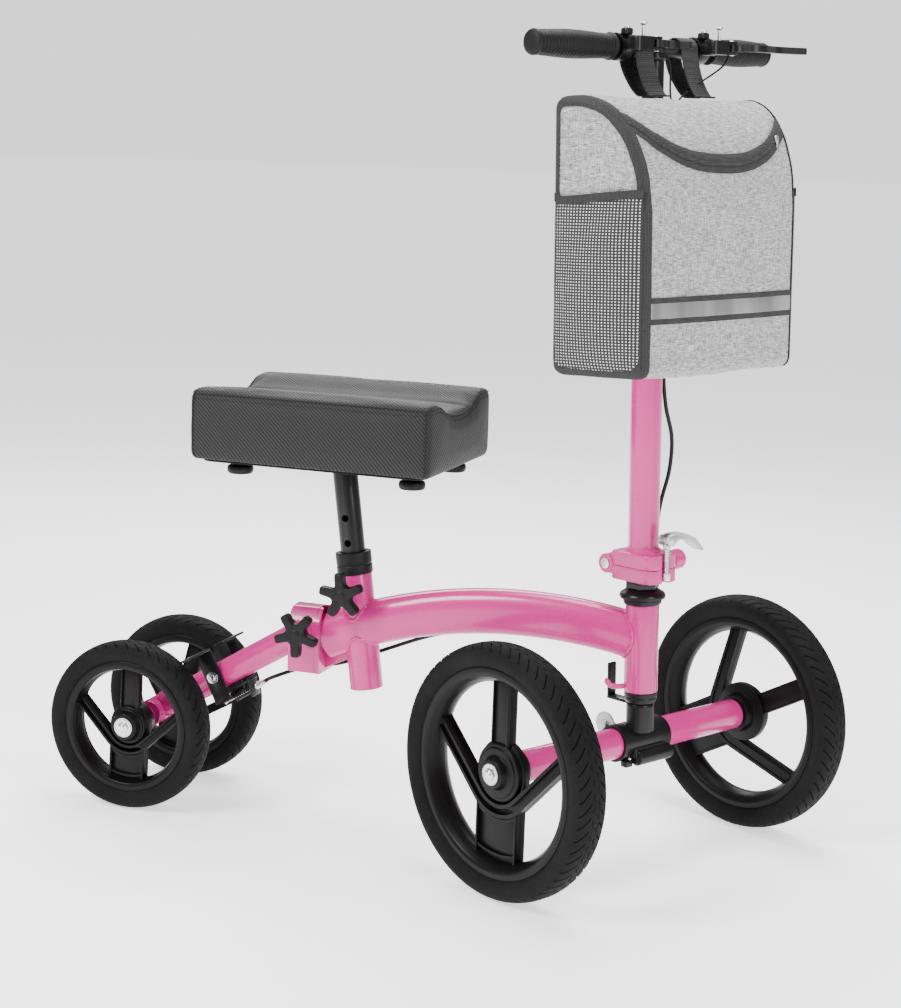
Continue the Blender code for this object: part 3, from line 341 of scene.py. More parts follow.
def fillet(points, radius, steps=3, closed=True):
    """Rounds the corners of an outline of 2D points."""
    made = []
    count = len(points)
    for i, point in enumerate(points):
        spot = Vector(point)
        if not closed and i in (0, count - 1):
            made.append(spot)
            continue
        back = Vector(points[i - 1]) - spot
        ahead = Vector(points[(i + 1) % count]) - spot
        reach = min(radius, back.length * 0.45, ahead.length * 0.45)
        if reach < 1e-6 or back.angle(ahead) > math.radians(172):
            made.append(spot)
            continue
        start = spot + back.normalized() * reach
        end = spot + ahead.normalized() * reach
        for k in range(steps + 1):
            t = k / steps
            made.append(start * (1 - t) ** 2 + spot * (2 * t * (1 - t)) + end * t**2)
    return made


def bridge(bm, first, second):
    """Joins two rings of equal count with quads."""
    count = len(first)
    for k in range(count):
        m = (k + 1) % count
        bm.faces.new((first[k], first[m], second[m], second[k]))


def fan(bm, ring, tip):
    """Closes a ring onto one vertex."""
    for k in range(len(ring)):
        bm.faces.new((ring[k], ring[(k + 1) % len(ring)], tip))


def lathe(bm, profile, at=HERE, steps=64, closed=True, soft=0.0, rows=3):
    """Adds a shape turned about Z from (radius, height) points."""
    if soft:
        profile = fillet(profile, soft, rows, closed)
    rings = []
    for radius, height in profile:
        if radius < 1e-6:
            rings.append([bm.verts.new(at @ Vector((0, 0, height)))])
            continue
        rings.append([
            bm.verts.new(at @ Vector((radius * math.cos(a), radius * math.sin(a), height)))
            for a in (2 * math.pi * s / steps for s in range(steps))
        ])
    pairs = list(zip(rings, rings[1:]))
    if closed:
        pairs.append((rings[-1], rings[0]))
    for first, second in pairs:
        if len(first) == len(second) == steps:
            bridge(bm, first, second)
        elif len(first) == steps:
            fan(bm, first, second[0])
        elif len(second) == steps:
            fan(bm, second, first[0])


def tube_profile(outer, inner, low, high):
    """Closed profile (radius, height) of a straight tube."""
    return [(outer, high), (outer, low), (inner, low), (inner, high)]


def merge(bm, part, at=HERE):
    """Adds another bmesh to this one."""
    part.transform(at)
    bmesh.ops.recalc_face_normals(part, faces=part.faces)
    mesh = bpy.data.meshes.new("part")
    part.to_mesh(mesh)
    part.free()
    bm.from_mesh(mesh)
    bpy.data.meshes.remove(mesh)


def prism(bm, outline, low, high, at=HERE, edge=0.0, rows=2):
    """Adds an outline in XY, thickened from low to high, with rounded rims."""
    part = bmesh.new()
    bottom = [part.verts.new((p[0], p[1], low)) for p in outline]
    top = [part.verts.new((p[0], p[1], high)) for p in outline]
    rims = [part.faces.new(bottom[::-1]), part.faces.new(top)]
    count = len(outline)
    for i in range(count):
        j = (i + 1) % count
        part.faces.new((bottom[i], bottom[j], top[j], top[i]))
    if edge:
        edges = [e for rim in rims for e in rim.edges]
        bmesh.ops.bevel(part, geom=edges, offset=edge, segments=rows, profile=0.5, affect="EDGES",
                        clamp_overlap=True)
    merge(bm, part, at)


def block(bm, size, at=HERE, edge=0.001, rows=2):
    """Adds a box with rounded edges."""
    part = bmesh.new()
    bmesh.ops.create_cube(part, size=1)
    bmesh.ops.scale(part, vec=size, verts=part.verts)
    if edge:
        bmesh.ops.bevel(part, geom=part.edges[:], offset=edge, segments=rows, profile=0.5, affect="EDGES",
                        clamp_overlap=True)
    merge(bm, part, at)


def smooth_path(points, count):
    """Evenly parametrised Catmull-Rom points through a route."""
    route = [Vector(p) for p in points]
    ends = [2 * route[0] - route[1]] + route + [2 * route[-1] - route[-2]]
    made = []
    for step in range(count):
        spot = step / (count - 1) * (len(route) - 1)
        span = min(int(spot), len(route) - 2)
        t = spot - span
        a, b, c, d = ends[span : span + 4]
        made.append(
            0.5 * (2 * b + (c - a) * t + (2 * a - 5 * b + 4 * c - d) * t**2 + (3 * b - 3 * c + d - a) * t**3)
        )
    return made


def resample(points, count):
    """Evenly spaced points round a closed outline."""
    points = [Vector(p) for p in points]
    points += points[:1]
    lengths = [0.0]
    for a, b in zip(points, points[1:]):
        lengths.append(lengths[-1] + (b - a).length)
    made = []
    for k in range(count):
        goal = lengths[-1] * k / count
        i = max(j for j in range(len(points) - 1) if lengths[j] <= goal + 1e-9)
        made.append(points[i].lerp(points[i + 1], (goal - lengths[i]) / (lengths[i + 1] - lengths[i])))
    return made


def sweep(bm, path, section, up=None, closed=False):
    """Sweeps a closed 2D section (side, up) along a path."""
    path = [Vector(p) for p in path]
    count = len(path)
    rings = []
    side = None
    for i, spot in enumerate(path):
        if closed:
            ahead = path[(i + 1) % count] - path[i - 1]
        else:
            ahead = path[min(i + 1, count - 1)] - path[max(i - 1, 0)]
        ahead.normalize()
        if up is None:
            if side is None:
                side = ahead.orthogonal().normalized()
            side = (side - ahead * side.dot(ahead)).normalized()
        else:
            side = ahead.cross(Vector(up)).normalized()
        over = side.cross(ahead).normalized()
        rings.append([bm.verts.new(spot + side * p[0] + over * p[1]) for p in section])
    for first, second in zip(rings, rings[1:]):
        bridge(bm, first, second)
    if closed:
        bridge(bm, rings[-1], rings[0])
    else:
        bm.faces.new(rings[0][::-1])
        bm.faces.new(rings[-1])
    return rings


def circle(radius, steps):
    """Points (x, y) of a regular outline round the origin."""
    return [(radius * math.cos(2 * math.pi * k / steps), radius * math.sin(2 * math.pi * k / steps))
            for k in range(steps)]


def ribbon(width, thick):
    """Section of a flat strap, thin way first."""
    corners = [(-width / 2, -thick / 2), (width / 2, -thick / 2), (width / 2, thick / 2),
               (-width / 2, thick / 2)]
    return [(b, a) for a, b in fillet(corners, thick * 0.45, 2)]


def carve(obj, bm, at):
    """Cuts a bmesh, placed at a frame, out of a piece and applies it."""
    mesh = bpy.data.meshes.new("cut")
    bmesh.ops.recalc_face_normals(bm, faces=bm.faces)
    bm.to_mesh(mesh)
    bm.free()
    cutter = bpy.data.objects.new("cut", mesh)
    bpy.context.scene.collection.objects.link(cutter)
    cutter.matrix_world = at
    made = obj.modifiers.new("cut", "BOOLEAN")
    made.operation = "DIFFERENCE"
    made.object = cutter
    made.solver = "EXACT"
    bpy.context.view_layer.update()
    graph = bpy.context.evaluated_depsgraph_get()
    result = bpy.data.meshes.new_from_object(obj.evaluated_get(graph))
    obj.modifiers.clear()
    old = obj.data
    obj.data = result
    result.name = old.name
    bpy.data.objects.remove(cutter)
    result.set_sharp_from_angle(angle=math.radians(32))
    return obj


def bore(obj, where, radius, low, high, steps=64):
    """Cuts a round hole along a frame's Z out of a piece."""
    cut = bmesh.new()
    lathe(cut, [(0, high), (radius, high), (radius, low), (0, low)], HERE, steps, False)
    return carve(obj, cut, where)


def slotted(obj, where, size, at):
    """Cuts a box out of a piece."""
    cut = bmesh.new()
    block(cut, size, Tr(at), 0)
    return carve(obj, cut, where)


def turned(name, profile, where, material, body, nodes=(), steps=64, closed=True, soft=0.0008):
    """A piece that is one turned shape."""
    bm = bmesh.new()
    lathe(bm, profile, HERE, steps, closed, soft)
    return piece(name, bm, where, material, body, nodes)


def wired(name, path, radius, where, material, body, nodes=(), steps=8):
    """A piece that is one round wire along a path."""
    bm = bmesh.new()
    sweep(bm, path, circle(radius, steps))
    return piece(name, bm, where, material, body, nodes)


def helix(radius, turns, start, rise, count, centre=0.0):
    """Points of a coil spring about Z."""
    made = []
    for k in range(count):
        t = k / (count - 1)
        angle = t * turns * 2 * math.pi
        made.append((centre + radius * math.cos(angle), radius * math.sin(angle), start + rise * t))
    return made


# ---------------------------------------------------------------- wheels
TREAD_COLUMNS = [(-0.080, 0), (-0.045, 1), (0.045, 1), (0.080, 0), (0.17, 2), (0.34, 3), (0.52, 3), (0.70, 3),
                 (0.84, 2)]
SLANT = -0.90
GROOVE = 0.0022
DASH = 0.0010


def tyre(name, where, radius, half, bead, wheel_body):
    """A solid tyre: smooth sidewalls, slanted shoulder grooves and short dashes along the crown."""
    k = half / HALF_FRONT
    drop = (radius - bead) / 0.0270
    side = [
        (0.0270, 0.0170, ""), (0.0262, 0.0184, ""), (0.0235, 0.0204, ""), (0.0200, 0.0222, ""),
        (0.0160, 0.0232, ""), (0.0120, 0.0234, ""), (0.0085, 0.0226, ""), (0.0062, 0.0213, ""),
        (0.0047, 0.0200, "g"), (0.0035, 0.0183, "g"), (0.0023, 0.0158, "g"), (0.0014, 0.0130, "g"),
        (0.0008, 0.0102, "g"), (0.0004, 0.0078, "g"), (0.0002, 0.0066, ""), (0.0001, 0.0050, ""),
        (0.0001, 0.0042, "d"), (0.0001, 0.0032, "d"), (0.0, 0.0024, ""),
    ]
    rows = [(radius - r * drop, z * k, kind, 1) for r, z, kind in side]
    rows += [(r, -z, kind, -1) for r, z, kind, _ in reversed(rows)]
    pitches = round(2 * math.pi * radius / 0.0160)
    bm = bmesh.new()
    grid = []
    for r, z, kind, sign in rows:
        lean = SLANT * min(max((abs(z) / k - 0.0066) / 0.0134, 0), 1)
        stagger = 0.25 if sign > 0 else -0.25
        ring = []
        for pitch in range(pitches):
            for offset, column in TREAD_COLUMNS:
                angle = 2 * math.pi * (pitch + offset + lean + stagger) / pitches
                depth = GROOVE * drop if kind == "g" and column == 1 else 0
                if kind == "d" and column == 3:
                    depth = DASH
                ring.append(bm.verts.new(((r - depth) * math.cos(angle), (r - depth) * math.sin(angle), z)))
        grid.append(ring)
    inner = []
    for z in (-0.0168 * k, 0.0168 * k):
        ring = []
        for vert in grid[-1] if z < 0 else grid[0]:
            angle = math.atan2(vert.co.y, vert.co.x)
            ring.append(bm.verts.new(((bead - 0.0006) * math.cos(angle), (bead - 0.0006) * math.sin(angle),
                                      z)))
        inner.append(ring)
    grid += inner
    for first, second in zip(grid, grid[1:] + grid[:1]):
        bridge(bm, first, second)
    piece(f"{name}_tyre_rubber", bm, where, TYRE_RUBBER, wheel_body, [f"{name}_tyre"], crease=50)


def arm_outline(inner_arc, outer_arc, reach):
    """The V of the two channel arms: it hugs the hub on the +X side and its ends lie on the rim."""
    outline = []
    for arc, order in ((outer_arc, 1), (inner_arc, -1)):
        run = math.sqrt(reach**2 - arc**2)
        slope = math.radians(45)
        ends = []
        for sign in (-1, 1):
            ends.append(Vector((
                arc * math.cos(slope) - run * math.sin(slope),
                sign * (arc * math.sin(slope) + run * math.cos(slope)),
            )))
        bend = [Vector((arc * math.cos(math.radians(a)), arc * math.sin(math.radians(a))))
                for a in range(-45, 46, 5)]
        outline += ([ends[0]] + bend + [ends[1]])[::order]
    return outline


def bar_outline(start, end, half):
    """Outline of a straight spoke along X."""
    return [(start, -half), (end, -half), (end, half), (start, half)]


def rim(name, where, radius, half, bead, spin, wheel_body):
    """A moulded rim: deep barrel, hub, a wide panel, a narrow spoke and two channel arms."""
    k = radius / R_FRONT
    deep = half * 0.76
    edge = bead - 0.0003
    barrel = [
        (edge, deep), (edge, -deep), (edge - 0.0065, -deep - 0.0006), (edge - 0.0105, -deep + 0.0010),
        (edge - 0.0150 * k, -deep * 0.62), (edge - 0.0185 * k, -deep * 0.25), (edge - 0.0190 * k, 0),
        (edge - 0.0185 * k, deep * 0.25), (edge - 0.0150 * k, deep * 0.62), (edge - 0.0105, deep - 0.0010),
        (edge - 0.0065, deep + 0.0006),
    ]
    inner = edge - 0.0190 * k
    bm = bmesh.new()
    lathe(bm, barrel, HERE, 160, True, 0.0012)
    hub = [
        (0.0055, HUB_HALF), (0.0130, HUB_HALF), (0.0170, HUB_HALF - 0.0006), (0.0205, HUB_HALF - 0.0080),
        (0.0225, 0.0100), (0.0262 * k + 0.003, 0.0098), (0.0270 * k + 0.003, 0.0080), (0.0335 * k, 0.0078),
        (0.0350 * k, 0.0060), (0.0352 * k, 0.0012), (0.0380 * k, 0.0008), (0.0380 * k, -0.0085),
        (0.0250, -0.0110), (0.0235, -0.0235), (0.0055, -0.0235),
    ]
    lathe(bm, hub, HERE, 72, True, 0.0010)
    turn = rot(spin, "Z")
    reach = inner + 0.0030
    low = -0.0060
    web = 0.0035
    face = 0.0082
    wide = 0.0340 * k
    rib = 0.0032
    outer_arc, inner_arc = 0.0540 * k, 0.0375 * k
    corner = outer_arc * math.sqrt(2) - wide - 0.0020
    prism(bm, bar_outline(corner, reach, wide), low, web, turn, 0.0008)
    for side in (-1, 1):
        strip = [(corner, side * (wide - rib)), (reach, side * (wide - rib)),
                 (reach, side * wide), (corner, side * wide)]
        prism(bm, strip[::side], low - 0.0015, face, turn, 0.0007)
    for start in (outer_arc + 0.0015, inner - 0.0080 * k):
        sill = []
        for r, way in ((start, 1), (start + 0.0028, -1)):
            spread = math.asin((wide - 0.001) / r) if r > wide else 1.2
            sill += [(r * math.cos(a), r * math.sin(a)) for a in
                     (way * spread * (s / 6 - 1) for s in range(13))]
        prism(bm, sill, 0.0, face - 0.0012, turn, 0.0005)
    lean = 0.0135 * k if k > 0.9 else 0.0120
    prism(bm, bar_outline(-reach, -0.0280 * k, lean), low, web + 0.0012, turn, 0.0008)
    for side in (-1, 1):
        strip = [(-reach, side * (lean - 0.0022)), (-0.028 * k, side * (lean - 0.0022)),
                 (-0.028 * k, side * lean), (-reach, side * lean)]
        prism(bm, strip[::-side], low - 0.0015, face - 0.0006, turn, 0.0006)
    prism(bm, arm_outline(inner_arc, outer_arc, reach), low, web, turn, 0.0008)
    prism(bm, arm_outline(inner_arc, inner_arc + 0.0046 * k, reach), low - 0.0015, face + 0.0004, turn,
          0.0008)
    prism(bm, arm_outline(outer_arc - 0.0046 * k, outer_arc, reach), low - 0.0015, face + 0.0004, turn,
          0.0008)
    piece(f"{name}_rim_moulding", bm, where, RIM_PLASTIC, wheel_body, [f"{name}_rim"])
    turned(f"{name}_bearing_cap", tube_profile(0.0128, 0.0056, HUB_HALF - 0.0004, HUB_HALF + 0.0016), where,
           ZINC, wheel_body, (), 48, True, 0.0004)


WHEELS = (
    ("front_right", FRONT, -FRONT_TRACK / 2, R_FRONT, HALF_FRONT, 0.027, -90, TO_RIGHT),
    ("front_left", FRONT, FRONT_TRACK / 2, R_FRONT, HALF_FRONT, 0.027, 151, TO_LEFT),
    ("rear_right", REAR, -REAR_TRACK / 2, R_REAR, HALF_REAR, 0.024, -92, TO_RIGHT),
    ("rear_left", REAR, REAR_TRACK / 2, R_REAR, HALF_REAR, 0.024, 105, TO_LEFT),
)
for name, axle, y, radius, half, wall, spin, side in WHEELS:
    at = axle @ Tr((0, y, 0)) @ side
    tyre(name, at, radius, half, radius - wall, f"{name}_wheel")
    rim(name, at, radius, half, radius - wall, math.radians(spin), f"{name}_wheel")


def capped_bolt(name, where, half, shank, body, node, hex_r=0.0082, flange=0.0108, height=0.0060):
    """A through bolt: washer faces, six-sided nuts and domed ends on both sides."""
    bm = bmesh.new()
    lathe(bm, [(0, half + height), (shank, half + height - 0.0012), (shank, -half - height + 0.0012),
               (0, -half - height)], HERE, 32, False, 0.0006)
    for sign in (1, -1):
        at = HERE if sign > 0 else rot(math.pi, "X")
        lathe(bm, [(0, half + 0.0018), (flange, half + 0.0016), (flange, half + 0.0002), (0, half + 0.0002)],
              at, 48, False, 0.0004)
        prism(bm, circle(hex_r, 6), half + 0.0015, half + height - 0.0014, at, 0.0006)
        lathe(bm, [(0, half + height + 0.0005), (hex_r * 0.55, half + height),
                   (hex_r * 0.8, half + height - 0.0022), (0, half + height - 0.0022)], at, 32, False, 0.0005)
    piece(name, bm, where, STEEL, body, [node])


capped_bolt("front_axle_bolt", FRONT @ TO_LEFT, FRONT_TRACK / 2 + HUB_HALF, 0.0050, "fork", "front_axle")
capped_bolt("rear_axle_bolt", REAR @ TO_LEFT, REAR_TRACK / 2 + HUB_HALF, 0.0050, "frame", "rear_axle")
capped_bolt("brake_pivot", YOKE @ TO_LEFT, 0.0235, 0.0040, "frame", "brake_pivot_bolt", 0.0062, 0.0078,
            0.0034)
capped_bolt("fold_hinge_pin", FOLD @ TO_LEFT, 0.0256, 0.0040, "column", "fold_pin", 0.0052, 0.0066, 0.0026)

# ---------------------------------------------------------------- frame tubes
BEAM_APEX_X, BEAM_APEX_Z, BEAM_ARC_R = 0.515, 0.2975, 0.66


def beam_height(x):
    """Height of the arched beam's middle line."""
    return BEAM_APEX_Z - (BEAM_ARC_R - math.sqrt(BEAM_ARC_R**2 - (x - BEAM_APEX_X) ** 2))


def beam_half_width(x):
    """The beam widens a little where the seat tube passes through it."""
    t = min(max((0.42 - x) / 0.09, 0), 1)
    return 0.0200 + 0.0026 * t * t * (3 - 2 * t)


def beam_section(half_height, half_width, count=64):
    """An upright oval with soft creases along its sides."""
    made = []
    for k in range(count):
        a = 2 * math.pi * k / count
        wide = math.copysign(abs(math.cos(a)) ** 0.80, math.cos(a))
        tall = math.copysign(abs(math.sin(a)) ** 0.80, math.sin(a))
        made.append((half_width * wide, half_height * tall))
    return made


def beam():
    """The arched beam: an oval tube, bored for the head tube and the seat tube."""
    bm = bmesh.new()
    first, last, steps = 0.2403, 0.6545, 96
    rings = []
    for inset in (0.0, 0.0020):
        for step in range(steps + 1):
            x = first + (last - first) * step / steps
            section = beam_section(0.0285 - inset, beam_half_width(x) - inset)
            lean = math.asin((BEAM_APEX_X - x) / BEAM_ARC_R)
            rings.append([
                bm.verts.new((x - up * math.sin(lean), side, beam_height(x) + up * math.cos(lean)))
                for side, up in section
            ])
    outer, inner = rings[: steps + 1], rings[steps + 1 :]
    loops = list(zip(outer, outer[1:])) + list(zip(inner, inner[1:]))
    loops += [(outer[0], inner[0]), (outer[-1], inner[-1])]
    for first_ring, second_ring in loops:
        bridge(bm, first_ring, second_ring)
    obj = piece("arched_beam", bm, SCOOTER, PAINT, "frame", ["main_beam"])
    bore(obj, HEAD, 0.0209, 0.10, 0.40)
    bore(obj, SEAT, 0.0176, 0.16, 0.36)


beam()


def weld(name, loop, radius=0.0022):
    """A rippled weld bead along a closed loop of points."""
    bm = bmesh.new()
    count = len(loop)
    rings = sweep(bm, loop, circle(radius, 8), None, True)
    for i, ring in enumerate(rings):
        swell = 1 + 0.16 * math.sin(i * 2 * math.pi * round(count / 4) / count)
        for vert in ring:
            vert.co = loop[i] + (vert.co - loop[i]) * swell
    piece(name, bm, SCOOTER, PAINT, "frame")


def project_to_beam(tube_frame, radius, count, above):
    """Points where a round tube meets the beam's skin."""
    made = []
    for k in range(count):
        a = 2 * math.pi * k / count
        for step in range(240):
            h = (0.36 - step * 0.0005) if above else (0.14 + step * 0.0005)
            p = SCOOTER.inverted() @ tube_frame @ Vector((radius * math.cos(a), radius * math.sin(a), h))
            half = min(abs(p.y) / beam_half_width(p.x), 1.0)
            tall = 0.0285 * (1 - half ** (2 / 0.80)) ** 0.40 if half < 1 else 0.0
            if abs(p.z - beam_height(p.x)) <= max(tall, 0.0015):
                made.append(p)
                break
        else:
            return []
    return made


turned("steering_head_tube", tube_profile(0.0205, 0.0165, 0.2178, 0.3265), HEAD, PAINT, "frame",
       ["head_tube"])
turned("seat_tube_body", tube_profile(0.0212, 0.0162, 0.1785, 0.3275), SEAT, PAINT, "frame", ["seat_tube"])
turned("seat_tube_collar", [(0.0228, 0.3556), (0.0228, 0.3410), (0.0222, 0.3400), (0.0222, 0.3390),
                            (0.0228, 0.3380), (0.0228, 0.3278), (0.0162, 0.3278), (0.0162, 0.3556)],
       SEAT, KNOB_PLASTIC, "frame", ["seat_collar"])
turned("lower_cup", [(0.0200, 0.2175), (0.0200, 0.2125), (0.0192, 0.2118), (0.0198, 0.2106), (0.0198, 0.2085),
                     (0.0185, 0.2046), (0.0131, 0.2046), (0.0131, 0.2175)],
       HEAD, BLACK_METAL, "frame", ["lower_headset_cup"])
turned("upper_cup", [(0.0235, 0.3330), (0.0235, 0.3310), (0.0225, 0.3268), (0.0131, 0.3268),
                     (0.0131, 0.3330)], HEAD, BLACK_METAL, "frame", ["upper_headset_cup"])
for tag, above in (("seat_top", True), ("seat_under", False)):
    weld(f"weld_{tag}", project_to_beam(SEAT, 0.0215, 96, above))
loop = []
for k in range(96):
    a = 2 * math.pi * k / 96
    x = 0.6318 + (0.0209 - math.sqrt(max(0.0209**2 - (0.0195 * math.cos(a)) ** 2, 0)))
    loop.append(Vector((x + 0.0010, 0.0198 * math.copysign(abs(math.cos(a)) ** 0.8, math.cos(a)),
                        beam_height(0.634) + 0.0285 * math.copysign(abs(math.sin(a)) ** 0.8, math.sin(a)))))
weld("weld_head", loop)

# rear socket: a folded box with a peaked top and a flange against the beam
socket_side = [(-0.0260, 0.1920), (0.0260, 0.1920), (0.0260, 0.2600), (0.0130, 0.2765), (-0.0130, 0.2765),
               (-0.0260, 0.2600)]
for tag, scale, low, high, node in (("block", 1.0, 0.1972, 0.2345, ["rear_socket"]),
                                    ("flange", 1.03, 0.2347, 0.2400, [])):
    bm = bmesh.new()
    prism(bm, fillet([(x * scale, z) for x, z in socket_side], 0.005, 4), low, high, UPRIGHT, 0.0012, 3)
    socket = piece(f"rear_socket_{tag}", bm, SCOOTER, PAINT, "frame", node)
    bore(socket, REAR_TUBE, 0.0178, 0.10, 0.40)
bm = bmesh.new()
prism(bm, [(0.2398, 0.1960), (0.2398, 0.2200), (0.2860, 0.2260), (0.2860, 0.2180)], -0.0025, 0.0025,
      TO_RIGHT, 0.0006)
gusset = piece("socket_gusset", bm, SCOOTER, PAINT, "frame")
bore(gusset, SEAT, 0.0190, 0.10, 0.40)

rear_tube = turned("rear_down_tube", tube_profile(0.0175, 0.0150, 0.0120, 0.2560), REAR_TUBE, PAINT, "frame",
                   ["rear_tube"], 72, True, 0.0006)
bore(rear_tube, REAR @ TO_LEFT, 0.0178, -0.06, 0.06)
spacer = REAR_TRACK / 2 - 0.0240 - 0.0005
turned("rear_axle_housing", [(0.0100, spacer), (0.0100, 0.0302), (0.0170, 0.0300), (0.0175, 0.0290),
                             (0.0175, -0.0290), (0.0170, -0.0300), (0.0100, -0.0302), (0.0100, -spacer),
                             (0.0053, -spacer), (0.0053, spacer)],
       REAR @ TO_LEFT, PAINT, "frame", ["rear_cross_tube"])
loop = []
for k in range(72):
    a = 2 * math.pi * k / 72
    side_y, up = 0.0178 * math.cos(a), 0.0178 * math.sin(a)
    along = math.sqrt(max(0.0180**2 - side_y**2, 0.000004)) + 0.0008
    loop.append(SCOOTER.inverted() @ REAR_TUBE @ Vector((up, side_y, along)))
weld("weld_rear", loop, 0.0018)

# ---------------------------------------------------------------- fork and front axle
turned("front_cross_tube", tube_profile(0.0190, 0.0165, -0.1908, 0.1908), FRONT @ TO_LEFT, PAINT, "fork",
       ["front_axle_tube"], 72)
for tag, side in (("right", TO_RIGHT), ("left", TO_LEFT)):
    turned(f"front_tube_plug_{tag}", [(0.0186, 0.1912), (0.0186, 0.1890), (0.0160, 0.1890), (0.0160, 0.1800),
                                      (0.0053, 0.1800), (0.0053, 0.1912)], FRONT @ side, KNOB_PLASTIC, "fork")
bm = bmesh.new()
shift = Tr((0, 0.0070, 0))
lathe(bm, tube_profile(0.0228, 0.0193, -0.0390, 0.0430), shift @ TO_LEFT, 72, True, 0.0010)
lathe(bm, [(0, 0.0300), (0.0060, 0.0300), (0.0095, 0.0288), (0.0095, -0.0288), (0.0060, -0.0300),
           (0, -0.0300)], shift @ Tr((0.0250, 0.0060, -0.0150)) @ TO_LEFT, 40, False, 0.0008)
block(bm, (0.0130, 0.0560, 0.0110), shift @ Tr((0.0205, 0.0030, -0.0100)) @ rot(math.radians(-25), "Y"),
      0.0015)
block(bm, (0.0100, 0.0120, 0.0080), shift @ Tr((0.0150, -0.0280, -0.0230)), 0.0012)
piece("axle_clamp_sleeve", bm, FRONT, BLACK_METAL, "fork", ["axle_clamp"])
bm = bmesh.new()
lathe(bm, [(0, 0.0012), (0.0150, 0.0012), (0.0150, -0.0012), (0, -0.0012)], HERE, 48, False, 0.0004)
lathe(bm, [(0, -0.0010), (0.0045, -0.0010), (0.0052, -0.0020), (0.0052, -0.0050), (0, -0.0052)], HERE, 24,
      False, 0.0004)
block(bm, (0.0180, 0.0100, 0.0020), Tr((0.0080, 0, 0.0004)), 0.0006)
piece("tie_washer", bm, FRONT @ Tr((-0.0240, -0.0210, 0.0180)) @ TO_LEFT, ZINC, "fork")
steerer = turned("fork_upright", [(0, 0.3560), (0.0127, 0.3560), (0.0127, 0.2040), (0.0165, 0.2028),
                                  (0.0172, 0.2000), (0.0172, 0.1680), (0, 0.1680)],
                 STEER, BLACK_METAL, "fork", ["steerer"], 64, False)
bore(steerer, FRONT @ TO_LEFT, 0.0231, -0.08, 0.08)
turned("headset_cover", [(0.0185, 0.3455), (0.0225, 0.3430), (0.0270, 0.3400), (0.0282, 0.3372),
                         (0.0275, 0.3345), (0.0262, 0.3335), (0.0131, 0.3335), (0.0131, 0.3455)], STEER,
       BLACK_METAL, "fork", ["headset_nut"])
bm = bmesh.new()
prism(bm, circle(0.0210, 6), 0.3462, 0.3552, HERE, 0.0010)
hex_nut = piece("headset_hex_nut", bm, STEER, BLACK_METAL, "fork")
bore(hex_nut, STEER, 0.0129, 0.30, 0.40, 48)

bm = bmesh.new()
block(bm, (0.0340, 0.0150, 0.0040), Tr((-0.0330, 0, 0.2010)), 0.0014)
block(bm, (0.0036, 0.0130, 0.0440), Tr((-0.0486, 0, 0.2220)), 0.0012)
piece("steering_stop", bm, STEER, BLACK_METAL, "fork", ["steering_stop_tab"])
hook = [(-0.0190, -0.0092, 0.2240), (-0.0260, -0.0130, 0.2236), (-0.0330, -0.0165, 0.2250),
        (-0.0372, -0.0186, 0.2300), (-0.0362, -0.0182, 0.2330)]
wired("lock_hook", smooth_path(hook, 22), 0.0034, HEAD, PAINT, "frame", ["steering_hook"], 14)

# ---------------------------------------------------------------- folding joint
FOLD_LOW, FOLD_HIGH = 0.3566, 0.3910
FOLD_IN_STEER = Tr((-0.0380, 0, 0.3735))


def fold_casting(name, low, high, knuckles, node, body):
    """One half of the folding block: a rounded plate, its hinge knuckles and the clamp slot."""
    bm = bmesh.new()
    plan = [(-0.0300, -0.0255), (0.0290, -0.0255), (0.0360, -0.0185), (0.0360, 0.0185), (0.0290, 0.0255),
            (-0.0300, 0.0255)]
    prism(bm, fillet(plan, 0.0050, 4), low, high, HERE, 0.0016, 3)
    obj = piece(name, bm, STEER, PAINT, body, [node])
    slotted(obj, STEER, (0.0160, 0.0110, 0.08), (0.0370, 0, 0.3735))
    for spot, start, end in knuckles:
        ring = bmesh.new()
        lathe(ring, tube_profile(0.0119, 0.0042, start, end), FOLD_IN_STEER @ TO_LEFT, 48, True, 0.0008)
        web_low = 0.3620 if low < 0.37 else 0.3760
        web_high = 0.3722 if low < 0.37 else 0.3850
        block(ring, (0.0130, end - start - 0.001, web_high - web_low),
              Tr((-0.0290, (start + end) / 2, (web_low + web_high) / 2)), 0.0010)
        piece(f"{name}_knuckle_{spot}", ring, STEER, PAINT, body)
    return obj


lower_half = fold_casting("fold_lower_casting", FOLD_LOW, 0.3732, 
                          [("right", -0.0256, -0.0147), ("left", 0.0147, 0.0256)], "fold_base", "fork")
upper_half = fold_casting("fold_upper_casting", 0.3738, FOLD_HIGH, [("middle", -0.0137, 0.0137)], "fold_top",
                          "column")
bore(lower_half, FOLD @ TO_LEFT, 0.0126, -0.0142, 0.0142, 40)
for side in (-1, 1):
    bore(upper_half, FOLD @ TO_LEFT, 0.0126, 0.0141 * side, 0.0280 * side, 40)
turned("column_foot_ring", [(0.0215, 0.3925), (0.0235, 0.3908), (0.0180, 0.3908), (0.0180, 0.3960),
                            (0.0192, 0.3960)], STEER, PAINT, "column")
bm = bmesh.new()
lathe(bm, [(0, 0.0456), (0.0075, 0.0458), (0.0105, 0.0448), (0.0119, 0.0425), (0.0120, 0.0275),
           (0.0112, 0.0262), (0, 0.0262)], Tr((0.0190, 0, 0.3790)) @ TO_LEFT, 48, False, 0.0005)
lathe(bm, [(0.0120, 0.0395), (0.01235, 0.0390), (0.01235, 0.0376), (0.0120, 0.0371)],
      Tr((0.0190, 0, 0.3790)) @ TO_LEFT, 48, True)
block(bm, (0.0160, 0.0060, 0.0090), Tr((0.0190, 0.0256, 0.3810)), 0.0010)
piece("latch_button_housing", bm, STEER, PAINT, "column")

